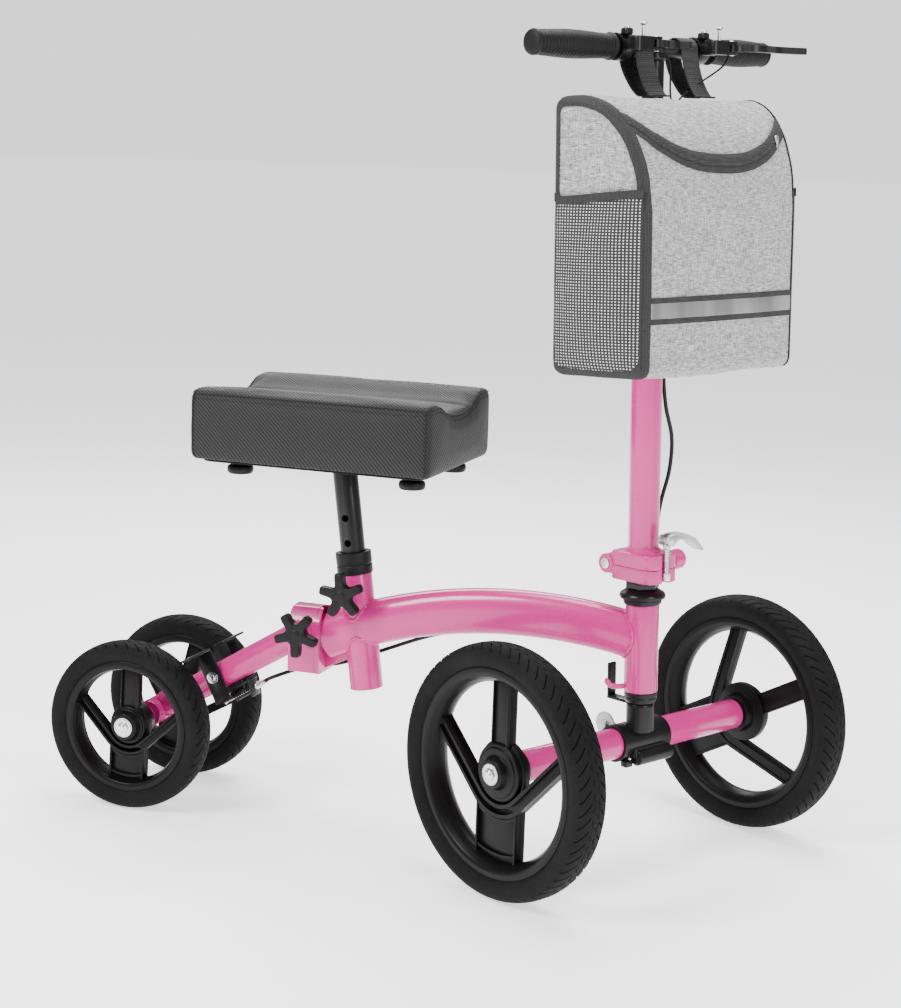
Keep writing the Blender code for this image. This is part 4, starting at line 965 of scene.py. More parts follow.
CLAMP_X = 0.0378
CLAMP = STEER @ Tr((CLAMP_X, 0, 0))
turned("swing_bolt", [(0, 0.4050), (0.0038, 0.4050), (0.0040, 0.3990), (0.0029, 0.3980), (0.0029, 0.3702),
                      (0.0047, 0.3696), (0.0047, 0.3604), (0, 0.3602)],
       CLAMP, STEEL, "clamp_bolt", ["clamp_lever_bolt"], 32, False, 0.0003)
wired("clamp_spring", helix(0.0040, 9, 0.3715, 0.0265, 140, CLAMP_X), 0.0005, STEER, ZINC, "clamp_bolt")
turned("clamp_cup", [(0.0029, 0.4040), (0.0046, 0.4036), (0.0046, 0.3998), (0.0029, 0.3992)], CLAMP, ZINC,
       "clamp_bolt", (), 32, True, 0.0003)

bm = bmesh.new()
lever_side = [(-0.0055, -0.0060), (0.0050, -0.0070), (0.0080, -0.0010), (0.0220, 0.0010), (0.0360, -0.0050),
              (0.0560, -0.0190), (0.0575, -0.0165), (0.0420, -0.0010), (0.0250, 0.0065), (0.0060, 0.0075),
              (-0.0050, 0.0060), (-0.0080, 0.0)]
prism(bm, fillet(lever_side, 0.004, 4), -0.0080, 0.0080, UPRIGHT, 0.0018, 3)
lever = piece("cam_lever", bm, LEVER, ZINC, "clamp_lever", ["clamp_lever"])
slotted(lever, LEVER, (0.0092, 0.0260, 0.0320), (0, -0.0060, -0.0010))
bm = bmesh.new()
lathe(bm, [(0, 0.0082), (0.0030, 0.0082), (0.0030, -0.0082), (0, -0.0082)], ALONG_X, 24, False, 0.0004)
piece("cam_pin", bm, LEVER, STEEL, "clamp_lever")

# ---------------------------------------------------------------- column, stem and handlebar
turned("steering_column", tube_profile(0.0185, 0.0165, 0.3914, 0.7990), STEER, PAINT, "column", ["column"],
       96)
turned("column_cap", [(0.0205, 0.8285), (0.0213, 0.8270), (0.0213, 0.8060), (0.0208, 0.8052),
                      (0.0208, 0.8040), (0.0213, 0.8032), (0.0213, 0.7995), (0.0188, 0.7985),
                      (0.0130, 0.7985), (0.0130, 0.8285)], STEER, KNOB_PLASTIC, "column")
turned("stem_tube", tube_profile(0.0127, 0.0105, 0.5500, 0.9750), STEER, BLACK_METAL, "handlebar", ["stem"])
turned("stem_weld", [(0.0127, 0.9700), (0.0150, 0.9706), (0.0142, 0.9680), (0.0127, 0.9660)], STEER,
       BLACK_METAL, "handlebar", (), 64, True, 0.0006)
BAR = STEER @ Tr((0, 0, BAR_Z))
turned("handlebar_tube", tube_profile(0.0111, 0.0092, -0.1900, 0.1900), BAR @ TO_LEFT, BLACK_METAL,
       "handlebar", ["handlebar"])


def grip(name, side, start, node):
    """A ribbed rubber grip: flange, palm swell, fine rings and a domed end."""
    profile = [(0.0114, start), (0.0150, start + 0.0002), (0.0158, start + 0.0018), (0.0150, start + 0.0038),
               (0.0139, start + 0.0050)]
    steps = 46
    for k in range(steps + 1):
        t = k / steps
        along = start + 0.0065 + t * (0.1905 - start - 0.0065)
        body = 0.0141 + 0.0020 * math.sin(math.pi * t) ** 1.5
        profile.append((body - (0.0007 if k % 2 else 0), along))
        profile.append((body - (0.0007 if k % 2 else 0), along + 0.0010))
    profile += [(0.0146, 0.1925), (0.0140, 0.1945), (0.0120, 0.1960), (0.0060, 0.1966), (0, 0.1966),
                (0, 0.1910), (0.0114, 0.1910)]
    bm = bmesh.new()
    lathe(bm, profile, side, 72, False)
    piece(name, bm, BAR, GRIP_RUBBER, "handlebar", [node], crease=40)


grip("right_hand_grip", TO_RIGHT, 0.0720, "right_grip")
grip("left_hand_grip", TO_LEFT, 0.0920, "left_grip")


# ---------------------------------------------------------------- star knobs
def star_knob(name, frame_at, at, turn, lobe_up, stem, body, node):
    """A five-lobed hand knob with dished faces, a collar and a threaded stem."""
    bm = bmesh.new()
    steps = 150
    rows = [(-0.0070, 0.0100, 0.35), (-0.0070, 0.0045, 0.7), (-0.0066, 0.0022, 1), (-0.0056, 0.0007, 1),
            (-0.0040, 0.0, 1), (0.0040, 0.0, 1), (0.0056, 0.0007, 1), (0.0066, 0.0022, 1),
            (0.0070, 0.0045, 0.7), (0.0070, 0.0100, 0.35)]
    rings = []
    for height, inset, lobes in rows:
        ring = []
        for step in range(steps):
            a = 2 * math.pi * step / steps
            near = (a + math.pi / 5) % (math.pi * 0.4) - math.pi / 5
            finger = 0.0057 / max(math.sin(abs(near)), 0.01)
            finger = (finger**-9 + 0.0294**-9) ** (-1 / 9)
            full = (finger**7 + 0.0138**7) ** (1 / 7)
            reach = 0.0120 + (full - 0.0120) * lobes - inset
            ring.append(bm.verts.new((reach * math.cos(a + lobe_up), reach * math.sin(a + lobe_up), height)))
        rings.append(ring)
    for low, high in zip(rings, rings[1:]):
        bridge(bm, low, high)
    for ring, height in ((rings[0], -0.0064), (rings[-1], 0.0070)):
        fan(bm, ring, bm.verts.new((0, 0, height)))
    lathe(bm, [(0, 0.0138), (0.0088, 0.0138), (0.0090, 0.0064), (0, 0.0064)], HERE, 48, False, 0.0007)
    lathe(bm, [(0, -0.0058), (0.0070, -0.0059), (0.0074, -0.0071), (0.0050, -0.0082), (0, -0.0086)], HERE, 48,
          False, 0.0004)
    place_at = frame_at @ Tr(at) @ turn
    piece(name, bm, place_at, KNOB_PLASTIC, body, [node], crease=42)
    profile = [(0, 0.0070 + stem)]
    turns = int(stem / 0.0010)
    for k in range(turns, 0, -1):
        z = 0.0070 + stem * k / turns
        profile += [(0.0036, z - 0.0001), (0.0040, z - 0.0005)]
    profile += [(0, 0.0066)]
    turned(f"{name}_thread", profile, place_at, ZINC, body, (), 28, False, 0)


star_knob("seat_star_knob", SEAT, (0, -0.0500, 0.3080), TO_LEFT, math.radians(-90), 0.0255, "seat_knob",
          "seat_height_knob")
star_knob("socket_star_knob", SCOOTER, (0.2200, -0.0520, 0.2490), TO_LEFT, math.radians(90), 0.0265,
          "socket_knob", "rear_socket_knob")
star_knob("height_star_knob", STEER, (-0.0480, 0, 0.8140), ALONG_X, math.radians(40), 0.0270, "height_knob",
          "height_knob")
turned("seat_boss", [(0, 0.0010), (0.0070, 0.0010), (0.0085, 0.0040), (0.0085, 0.0110), (0, 0.0110)],
       SEAT @ Tr((0, -0.0270, 0.3080)) @ TO_LEFT, PAINT, "frame", (), 40, False)
turned("socket_boss", [(0, 0.0004), (0.0085, 0.0004), (0.0095, 0.0020), (0.0095, 0.0060), (0, 0.0060)],
       SCOOTER @ Tr((0.2200, -0.0300, 0.2490)) @ TO_LEFT, PAINT, "frame", (), 40, False)
turned("height_boss", [(0, -0.0010), (0.0070, -0.0010), (0.0085, 0.0015), (0.0085, 0.0080), (0, 0.0080)],
       STEER @ Tr((-0.0265, 0, 0.8140)) @ ALONG_X, KNOB_PLASTIC, "column", (), 40, False)


# ---------------------------------------------------------------- brake levers
def lever_set(side, clamp_y, length, bend):
    """A lever bracket on the bar, its blade, pivot and parking pin."""
    base = STEER @ Tr((0, clamp_y, BAR_Z))
    bm = bmesh.new()
    lathe(bm, tube_profile(0.0158, 0.0113, -0.0085, 0.0085), TO_LEFT, 64, True, 0.0014)
    block(bm, (0.0160, 0.0165, 0.0145), Tr((0.0200, 0, 0.0010)), 0.0030, 3)
    hull = [(0.0200, -0.0085), (0.0345, -0.0080), (0.0368, -0.0040), (0.0368, 0.0320), (0.0345, 0.0342),
            (0.0280, 0.0342), (0.0202, 0.0200)]
    prism(bm, fillet(hull, 0.0060, 4), -0.0050, 0.0108, HERE, 0.0024, 3)
    block(bm, (0.0100, 0.0120, 0.0080), Tr((0.0115, 0, 0.0165)), 0.0022, 3)
    bracket = piece(f"{side}_lever_housing", bm, base, BLACK_METAL, "handlebar",
                    [f"{side}_lever_bracket"], crease=40)
    slotted(bracket, base, (0.0320, 0.0270, 0.0086), (0.0355, 0.0316, 0.0030))
    park = base @ Tr((0.0245, 0.0130, 0))
    bore(bracket, park, 0.0024, 0.0040, 0.0300, 24)
    pivot = base @ Tr((0.0310, 0.0280, 0.0030))
    points = [(-0.0060, -0.0020), (-0.0050, 0.0060), (0.0060, 0.0070), (0.25 * length, 0.0075 + bend),
              (0.60 * length, 0.0040 + bend), (length, 0.0070 + bend), (length + 0.0015, bend),
              (0.98 * length, bend - 0.0035), (0.60 * length, bend - 0.0060), (0.25 * length, bend - 0.0035),
              (0.0060, -0.0050), (-0.0040, -0.0060)]
    loop = [(p.x, p.y) for p in smooth_path([(x, y, 0) for y, x in points + points[:1]], 97)[:-1]]
    blade = bmesh.new()
    prism(blade, loop, -0.0039, 0.0039, HERE, 0.0013, 3)
    piece(f"{side}_lever_blade", blade, pivot, BLACK_METAL, f"{side}_lever",
          [f"{side}_brake_lever"], crease=40)
    turned(f"{side}_lever_pivot_pin", [(0, 0.0088), (0.0024, 0.0088), (0.0034, 0.0082), (0.0034, 0.0078),
                                       (0.0024, 0.0076), (0.0024, -0.0076), (0.0034, -0.0078),
                                       (0.0034, -0.0086), (0, -0.0088)], pivot, STEEL, "handlebar", (), 28,
           False, 0.0003)
    turned(f"{side}_park_pin", [(0, 0.0270), (0.0036, 0.0268), (0.0042, 0.0260), (0.0042, 0.0248),
                                (0.0030, 0.0240), (0.0020, 0.0230), (0.0020, 0.0112), (0, 0.0110)], park,
           STEEL, f"{side}_pin", [f"{side}_parking_pin"], 28, False, 0.0003)
    turned(f"{side}_clamp_screw", [(0, 0.0030), (0.0030, 0.0030), (0.0036, 0.0020), (0.0036, 0), (0, 0)],
           base @ Tr((0.0115, 0, 0.0204)), STEEL, "handlebar", (), 24, False, 0.0004)


lever_set("right", -0.0570, 0.0520, 0.0)
lever_set("left", 0.0730, 0.1120, 0.0140)

# ---------------------------------------------------------------- rear brake
bm = bmesh.new()
plate = [(-0.0112, -0.0348), (0.0122, -0.0348), (0.0122, 0.0372), (-0.0040, 0.0372), (-0.0112, 0.0240)]
for side in (-1, 1):
    prism(bm, fillet(plate, 0.0050, 4), -0.0015, 0.0015, Tr((0, side * 0.0220, 0)) @ TO_RIGHT, 0.0005)
    inner, outer = side * 0.0205, side * 0.0808
    wing = [(-0.0058, inner), (0.0124, inner), (0.0124, outer), (-0.0058, outer)]
    prism(bm, fillet(wing, 0.0040, 3), 0.0346, 0.0374, HERE, 0.0006)
block(bm, (0.0236, 0.0468, 0.0030), Tr((0.0005, 0, -0.0335)), 0.0008)
piece("brake_yoke_plates", bm, YOKE, BLACK_METAL, "brake", ["brake_yoke"])
bm = bmesh.new()
block(bm, (0.0300, 0.0240, 0.0030), Tr((0.1245, 0, 0.1610)) @ rot(math.radians(-31.9), "Y"), 0.0008)
block(bm, (0.0030, 0.0240, 0.0260), Tr((0.1380, 0, 0.1590)) @ rot(math.radians(-20), "Y"), 0.0010)
piece("wire_stop_bracket", bm, SCOOTER, BLACK_METAL, "frame", ["cable_stop"])
profile = [(0.0012, 0.0180), (0.0030, 0.0180), (0.0034, 0.0170)]
for k in range(9):
    profile += [(0.0044, 0.0162 - k * 0.0010), (0.0041, 0.0157 - k * 0.0010)]
profile += [(0.0045, 0.0070), (0.0045, 0.0052), (0.0012, 0.0050)]
turned("wire_adjuster", profile, WIRE, STEEL, "frame", ["barrel_adjuster"], 28, True, 0)
turned("brake_tail_wire", [(0, 0.0050), (0.0010, 0.0050), (0.0010, -0.0460), (0, -0.0460)], WIRE, STEEL,
       "frame", (), 12, False, 0)
bm = bmesh.new()
lathe(bm, [(0, 0.0022), (0.0016, 0.0016), (0.0022, 0), (0.0016, -0.0016), (0, -0.0022)],
      Tr((0, 0, -0.0465)), 20, False)
piece("brake_wire_ball", bm, WIRE, STEEL, "frame")
wired("brake_return_spring", helix(0.0047, 8, -0.0035, -0.0260, 170), 0.0009, WIRE, BLACK_METAL, "frame")

# ---------------------------------------------------------------- seat post and pad board
post = turned("seat_post_tube", tube_profile(0.0157, 0.0135, 0.2480, 0.4720), SEAT, BLACK_METAL, "seat",
              ["seat_post"], 72, True, 0.0006)
slotted(post, SCOOTER, (0.12, 0.12, 0.04), (0.2600, 0, 0.4897))
for hole in range(5):
    bore(post, SEAT @ Tr((0, -0.0150, 0.2720 + 0.032 * hole)) @ TO_LEFT, 0.0045, -0.015, 0.015, 28)
bm = bmesh.new()
board = [(0.1095, -0.1045), (0.4015, -0.1045), (0.4015, 0.1045), (0.1095, 0.1045)]
prism(bm, fillet(board, 0.0150, 5), 0.4692, 0.4712, HERE, 0.0006)
piece("pad_base_board", bm, SCOOTER, KNOB_PLASTIC, "seat", ["pad_board"])
foot = [(0, 0.0020), (0.0085, 0.0020), (0.0085, -0.0050), (0.0120, -0.0058), (0.0155, -0.0072),
        (0.0165, -0.0105), (0.0162, -0.0140), (0.0145, -0.0165), (0.0090, -0.0170), (0, -0.0168)]
for corner, (x, y) in enumerate(((0.150, -0.075), (0.378, -0.075), (0.150, 0.075), (0.378, 0.075))):
    turned(f"pad_screw_foot_{corner + 1}", foot, SCOOTER @ Tr((x, y, 0.4700)), KNOB_PLASTIC, "seat",
           [f"pad_knob_{corner + 1}"], 48, False, 0.0008)

# ---------------------------------------------------------------- knee pad
PAD_REAR, PAD_FRONT, PAD_HALF, PAD_LOW = 0.097, 0.414, 0.1165, 0.4704
CHANNEL = [(0.1165, 0.551), (0.1140, 0.5585), (0.1070, 0.5622), (0.0960, 0.5626), (0.0820, 0.5612),
           (0.0680, 0.5570), (0.0520, 0.5500), (0.0340, 0.5450), (0.0160, 0.5430), (0.0, 0.5425)]
PUFF_FRAMES = 16


def pad_section(inset):
    """Outline (y, z) of the pad's cross-section: a shallow channel between raised edges."""
    top = CHANNEL + [(-y, z) for y, z in reversed(CHANNEL[:-1])]
    side = [(-0.1168, 0.5300), (-0.1170, 0.5120), (-0.1168, 0.4930), (-0.1162, 0.4790), (-0.1145, 0.4725),
            (-0.1090, PAD_LOW)]
    under = [(0.035 * k, PAD_LOW) for k in range(-2, 3)]
    outline = top + side + under + [(-y, z) for y, z in reversed(side)]
    middle = Vector((0, (PAD_LOW + 0.545) / 2))
    wide, tall = 1 - inset / 0.115, 1 - inset / 0.040
    return [(middle.x + (y - middle.x) * wide, middle.y + (z - middle.y) * tall) for y, z in outline]


def pad_body():
    """The pad before it is puffed: the section drawn in at both ends."""
    bm = bmesh.new()
    stations = [(0.0, 0.0045), (0.0006, 0.0024), (0.0020, 0.0009), (0.0045, 0.0)]
    length = PAD_FRONT - PAD_REAR
    stations += [(0.0045 + (length - 0.009) * k / 40, 0.0) for k in range(1, 40)]
    stations += [(length - d, inset) for d, inset in reversed(stations[:4])]
    rings = []
    for along, inset in stations:
        x = PAD_REAR + 0.0015 + along * (length - 0.003) / length
        rings.append([bm.verts.new((x, y, z)) for y, z in pad_section(inset + 0.0015)])
    for first, second in zip(rings, rings[1:]):
        bridge(bm, first, second)
    bm.faces.new(rings[0])
    bm.faces.new(rings[-1][::-1])
    bmesh.ops.recalc_face_normals(bm, faces=bm.faces)
    return bm


def puffed(name, bm, pressure, cap, voxel):
    """Swells a closed mesh with cloth under pressure, by no more than cap, with its foot held."""
    mesh = bpy.data.meshes.new(name)
    bm.to_mesh(mesh)
    obj = bpy.data.objects.new(name, mesh)
    bpy.context.scene.collection.objects.link(obj)
    remesh = obj.modifiers.new("even", "REMESH")
    remesh.mode = "VOXEL"
    remesh.voxel_size = voxel
    graph = bpy.context.evaluated_depsgraph_get()
    even = bpy.data.meshes.new_from_object(obj.evaluated_get(graph))
    obj.modifiers.clear()
    obj.data = even
    start = [v.co.copy() for v in even.vertices]
    group = obj.vertex_groups.new(name="held")
    for vert in even.vertices:
        grip_at = min(max((PAD_LOW + 0.010 - vert.co.z) / 0.008, 0), 1)
        if grip_at > 0:
            group.add([vert.index], grip_at, "REPLACE")
    cloth = obj.modifiers.new("cloth", "CLOTH")
    settings = cloth.settings
    settings.quality = 6
    settings.mass = 0.3
    settings.tension_stiffness = 18
    settings.compression_stiffness = 18
    settings.shear_stiffness = 8
    settings.bending_stiffness = 0.8
    settings.use_pressure = True
    settings.uniform_pressure_force = pressure
    settings.vertex_group_mass = "held"
    settings.effector_weights.gravity = 0
    cloth.point_cache.frame_start = 1
    cloth.point_cache.frame_end = PUFF_FRAMES
    for number in range(1, PUFF_FRAMES + 1):
        bpy.context.scene.frame_set(number)
    graph = bpy.context.evaluated_depsgraph_get()
    after = bpy.data.meshes.new_from_object(obj.evaluated_get(graph))
    made = bmesh.new()
    made.from_mesh(after)
    made.verts.ensure_lookup_table()
    for vert, before in zip(made.verts, start):
        move = vert.co - before
        if move.length > cap:
            vert.co = before + move * (cap / move.length)
    bpy.context.scene.frame_set(1)
    bpy.data.objects.remove(obj)
    bmesh.ops.smooth_vert(made, verts=made.verts, factor=0.5, use_axis_x=True, use_axis_y=True,
                          use_axis_z=True)
    return made


pad_mesh = puffed("pad_swell", pad_body(), 1.4, 0.0028, 0.0045)
pad_low = (PAD_REAR - 0.003, -PAD_HALF - 0.003, PAD_LOW)
pad_high = (PAD_FRONT + 0.003, PAD_HALF + 0.003, 0.5660)
for vert in pad_mesh.verts:
    vert.co = [min(max(value, low), high) for value, low, high in zip(vert.co, pad_low, pad_high)]
pad = piece("knee_pad_cushion", pad_mesh, SCOOTER, PAD_COVER, "seat", ["knee_pad"], crease=80)
fine = pad.modifiers.new("fine", "SUBSURF")
fine.levels = fine.render_levels = 1
graph = bpy.context.evaluated_depsgraph_get()
pad.data = bpy.data.meshes.new_from_object(pad.evaluated_get(graph))
pad.modifiers.clear()
pad.data.shade_smooth()
bm = bmesh.new()
bm.from_mesh(pad.data)
PAD_TREE = BVHTree.FromBMesh(bm)
bm.free()


def on_pad(start, aim, lift):
    """The spot on the cushion hit from start towards aim, lifted off it."""
    spot, normal, _, _ = PAD_TREE.ray_cast(Vector(start), (Vector(aim) - Vector(start)).normalized())
    if spot is None:
        spot, normal, _, _ = PAD_TREE.find_nearest(Vector(start))
    return spot + normal * lift


def seam_on_pad(name, points, radius, lift, stitched=False):
    """A welt line over the cushion, or a row of stitches along it."""
    bm = bmesh.new()
    path = [on_pad(start, aim, lift) for start, aim in points]
    if stitched:
        for first, last in zip(path[::2], path[1::2]):
            sweep(bm, [first, last], circle(radius, 6))
    else:
        sweep(bm, path, circle(radius, 8), None, True)
    piece(name, bm, SCOOTER, THREAD, "seat")


def pad_loop(inset, count=520):
    """Rays that trace the top panel's edge all round."""
    rays = []
    half_x = (PAD_FRONT - PAD_REAR) / 2
    middle_x = (PAD_FRONT + PAD_REAR) / 2
    plan = [(-half_x, -PAD_HALF), (half_x, -PAD_HALF), (half_x, PAD_HALF), (-half_x, PAD_HALF)]
    for p in resample(fillet(plan, 0.010, 6), count):
        y = abs(p.y)
        top = 0.5440
        for (y0, z0), (y1, z1) in zip(CHANNEL, CHANNEL[1:]):
            if y1 <= y <= y0:
                top = z1 + (z0 - z1) * (y - y1) / (y0 - y1)
        if y > 0.1140:
            top = 0.5585
        height = min(top, 0.5600) - inset
        rays.append(((middle_x + p.x * 1.25, p.y * 1.25, height),
                     (middle_x + p.x * 0.80, p.y * 0.80, height)))
    return rays


seam_on_pad("pad_top_welt", pad_loop(0.0050), 0.0010, 0.0002)
seam_on_pad("pad_stitch_low", pad_loop(0.0105), 0.0004, 0.0003, True)
bm = bmesh.new()
for sx, x in ((-1, PAD_REAR + 0.004), (1, PAD_FRONT - 0.004)):
    for sy in (-1, 1):
        path = []
        for k in range(26):
            z = 0.4760 + 0.0780 * k / 25
            start = (x + sx * 0.05, sy * (PAD_HALF + 0.05), z)
            path.append(on_pad(start, (x - sx * 0.01, sy * (PAD_HALF - 0.010), z), 0.0002))
        sweep(bm, path, circle(0.0009, 8))
piece("pad_corner_welts", bm, SCOOTER, THREAD, "seat")

# ---------------------------------------------------------------- bag
BAG_BACK, BAG_FRONT = 0.0225, 0.1400
BAG_MIDDLE = -0.0290
BACK_HALF, FRONT_HALF = 0.1540, 0.1240
BAG_SIDE = [(0.0225, 0.617), (0.140, 0.617), (0.140, 0.800), (0.135, 0.845), (0.118, 0.885), (0.090, 0.914),
            (0.060, 0.925), (0.0225, 0.924)]
RIM_POINTS = 132
RIM = resample(fillet(BAG_SIDE, 0.016, 6), RIM_POINTS)
RIM_MIDDLE = Vector((0.078, 0.765))
EDGE_ROUND = 0.010


def half_width(x):
    """The bag narrows from its back to its front."""
    return BACK_HALF + (FRONT_HALF - BACK_HALF) * (x - BAG_BACK) / (BAG_FRONT - BAG_BACK)


def bag_point(arc, across, lift=0.0):
    """A point of the bag's wrap: arc along the side outline (0 to 1), across from -1 to 1."""
    spot = (arc % 1.0) * RIM_POINTS
    i = int(spot) % RIM_POINTS
    here = RIM[i].lerp(RIM[(i + 1) % RIM_POINTS], spot - int(spot))
    along = RIM[(i + 1) % RIM_POINTS] - RIM[i - 1]
    normal = Vector((along.y, -along.x)).normalized()
    half = half_width(min(max(here.x, BAG_BACK), BAG_FRONT))
    edge = max(abs(across) * half - (half - EDGE_ROUND), 0) / EDGE_ROUND
    drop = EDGE_ROUND * 0.55 * (1 - math.sqrt(max(1 - edge**2, 0)))
    facing = max(normal.x, 0)
    swell = 0.0050 * facing * (1 - across**2) - 0.0022 * (1 - facing) * 0.3
    sag = 0.0024 * noise.noise(Vector((here.x * 9, across * 2.4, here.y * 7)))
    fold = 0.0012 * noise.noise(Vector((here.x * 30 + 4, across * 7, here.y * 24)))
    out = here + normal * (swell + (sag + fold) * (1 - edge) - drop - 0.0015 + lift)
    return Vector((out.x, BAG_MIDDLE + across * half * 0.9992, out.y))


def side_point(side, x, z, lift=0.0):
    """A point of a side panel, which pillows away from its edge."""
    here = Vector((x, z))
    gap = min((here - p).length for p in RIM)
    pillow = min(gap / 0.040, 1.0)
    puff = 0.0060 * (1 - (1 - pillow) ** 2)
    wave = 0.0022 * noise.noise(Vector((x * 22, side * 3.0, z * 15))) * pillow
    half = half_width(min(max(x, BAG_BACK), BAG_FRONT)) + puff + wave - 0.0012 + lift
    return Vector((x, BAG_MIDDLE + side * half, z))


def bag_shell():
    """The lofted bag: its wrap, and side panels that close onto their middles."""
    bm = bmesh.new()
    stations = [-1.0, -0.996, -0.985, -0.965, -0.935]
    stations += [-0.90 + 1.80 * k / 46 for k in range(47)]
    stations += [-s for s in reversed(stations[:5])]
    rings = [[bm.verts.new(bag_point(k / RIM_POINTS,
                                     across)) for k in range(RIM_POINTS)] for across in stations]
    for first, second in zip(rings, rings[1:]):
        bridge(bm, first, second)
    for ring, side in ((rings[0], -1), (rings[-1], 1)):
        last = ring
        for shrink in (0.97, 0.92, 0.84, 0.74, 0.62, 0.48, 0.33, 0.17):
            fresh = []
            for vert in ring:
                x = RIM_MIDDLE.x + (vert.co.x - RIM_MIDDLE.x) * shrink
                z = RIM_MIDDLE.y + (vert.co.z - RIM_MIDDLE.y) * shrink
                fresh.append(bm.verts.new(side_point(side, x, z)))
            bridge(bm, last, fresh)
            last = fresh
        fan(bm, last, bm.verts.new(side_point(side, RIM_MIDDLE.x, RIM_MIDDLE.y)))
    return bm


bag = piece("bag_shell", bag_shell(), STEER, HEATHER, "handlebar", ["bag"], crease=75)


def strip_faces(bm, first, second):
    """Joins two open rows with quads."""
    for c in range(len(first) - 1):
        bm.faces.new((first[c], first[c + 1], second[c + 1], second[c]))


def band(name, grid, thick, material):
    """A strip of cloth from rows of points, thickened away from the bag's middle."""
    middle = Vector((0.08, BAG_MIDDLE, 0.77))
    bm = bmesh.new()
    inner, outer = [], []
    for r, row in enumerate(grid):
        near, far = grid[max(r - 1, 0)], grid[min(r + 1, len(grid) - 1)]
        low, high = [], []
        for c, spot in enumerate(row):
            along = row[min(c + 1, len(row) - 1)] - row[max(c - 1, 0)]
            normal = along.cross(far[c] - near[c])
            if normal.length < 1e-12:
                normal = spot - middle
            normal.normalize()
            if normal.dot(spot - middle) < 0:
                normal = -normal
            rim = r in (0, len(grid) - 1) or c in (0, len(row) - 1)
            low.append(bm.verts.new(spot))
            high.append(bm.verts.new(spot + normal * (thick * 0.6 if rim else thick)))
        inner.append(low)
        outer.append(high)
    for sheet in (inner, outer):
        for a, b in zip(sheet, sheet[1:]):
            strip_faces(bm, a, b)
    for r in (0, -1):
        strip_faces(bm, inner[r], outer[r])
        strip_faces(bm, [row[r] for row in inner], [row[r] for row in outer])
    return piece(name, bm, STEER, material, "handlebar", crease=60)


def arc_of(z):
    """Arc value of a height on the bag's front edge."""
    best = min((k for k in range(RIM_POINTS) if RIM[k].x > 0.10), key=lambda k: abs(RIM[k].y - z))
    for k in range(best - 1, best + 1):
        a, b = RIM[k % RIM_POINTS].y, RIM[(k + 1) % RIM_POINTS].y
        if min(a, b) <= z <= max(a, b) and a != b:
            return (k + (z - a) / (b - a)) / RIM_POINTS
    return best / RIM_POINTS


SPREAD = [-0.985 + 1.97 * k / 60 for k in range(61)]
for name, low, high, lift, material in (
    ("reflective_border_low", 0.6785, 0.6845, 0.0007, BINDING),
    ("reflective_stripe", 0.6845, 0.7015, 0.0005, REFLECTIVE),
    ("reflective_border_high", 0.7015, 0.7075, 0.0007, BINDING),
):
    arcs = [arc_of(low + (high - low) * k / 4) for k in range(5)]
    band(name, [[bag_point(arc, across, lift) for across in SPREAD] for arc in arcs], 0.0006, material)


def pocket_top(x):
    """Height of the side pocket's sagging mouth."""
    t = (x - BAG_BACK) / (BAG_FRONT - BAG_BACK)
    return 0.8040 + 0.0120 * t**0.8 + 0.0095 * max(0, 1 - t / 0.22) ** 2


BINDING_EDGE = 0.955
for side, tag in ((-1, "right"), (1, "left")):
    # Binding folds round the panel's edge: one leg on the wrap, one on the side panel.
    grid = []
    for k in range(265):
        arc = k / 264
        row = [bag_point(arc, side * (BINDING_EDGE + (1 - BINDING_EDGE) * s / 4), 0.0009) for s in range(5)]
        here = bag_point(arc, side * 1.0, 0.0)
        for shrink in (0.990, 0.975, 0.955, 0.935):
            x = RIM_MIDDLE.x + (here.x - RIM_MIDDLE.x) * shrink
            z = RIM_MIDDLE.y + (here.z - RIM_MIDDLE.y) * (1 - (1 - shrink) * 0.55)
            row.append(side_point(side, x, z, 0.0010))
        grid.append(row)
    band(f"bag_binding_{tag}", grid, 0.0009, BINDING)

    # Side pocket of net with a bound, sagging mouth.
    grid = []
    for r in range(25):
        row = []
        for c in range(25):
            x = BAG_BACK + 0.0065 + (BAG_FRONT - BAG_BACK - 0.0130) * c / 24
            bottom = 0.6255 + 0.016 * max(0, 1 - min(x - BAG_BACK, BAG_FRONT - x) / 0.018) ** 2
            z = bottom + (pocket_top(x) - bottom) * r / 24
            belly = 0.0045 * math.sin(math.pi * r / 24) ** 0.7 * math.sin(math.pi * c / 24)
            row.append(side_point(side, x, z, 0.0012 + belly))
        grid.append(row)
    net = band(f"pocket_net_{tag}", grid, 0.0008, NET)
    grid = []
    for r in range(5):
        grid.append([])
        for c in range(33):
            x = BAG_BACK + 0.0055 + (BAG_FRONT - BAG_BACK - 0.0110) * c / 32
            z = pocket_top(x) - 0.0015 + 0.0095 * r / 4
            grid[-1].append(side_point(side, x, z, 0.0026))
    mouth = band(f"pocket_band_{tag}", grid, 0.0012, BINDING)


def zip_arc(across):
    """The zip runs down from both top corners and dips at the middle of the front."""
    return 0.8490 + 0.0500 * abs(across) ** 2.6


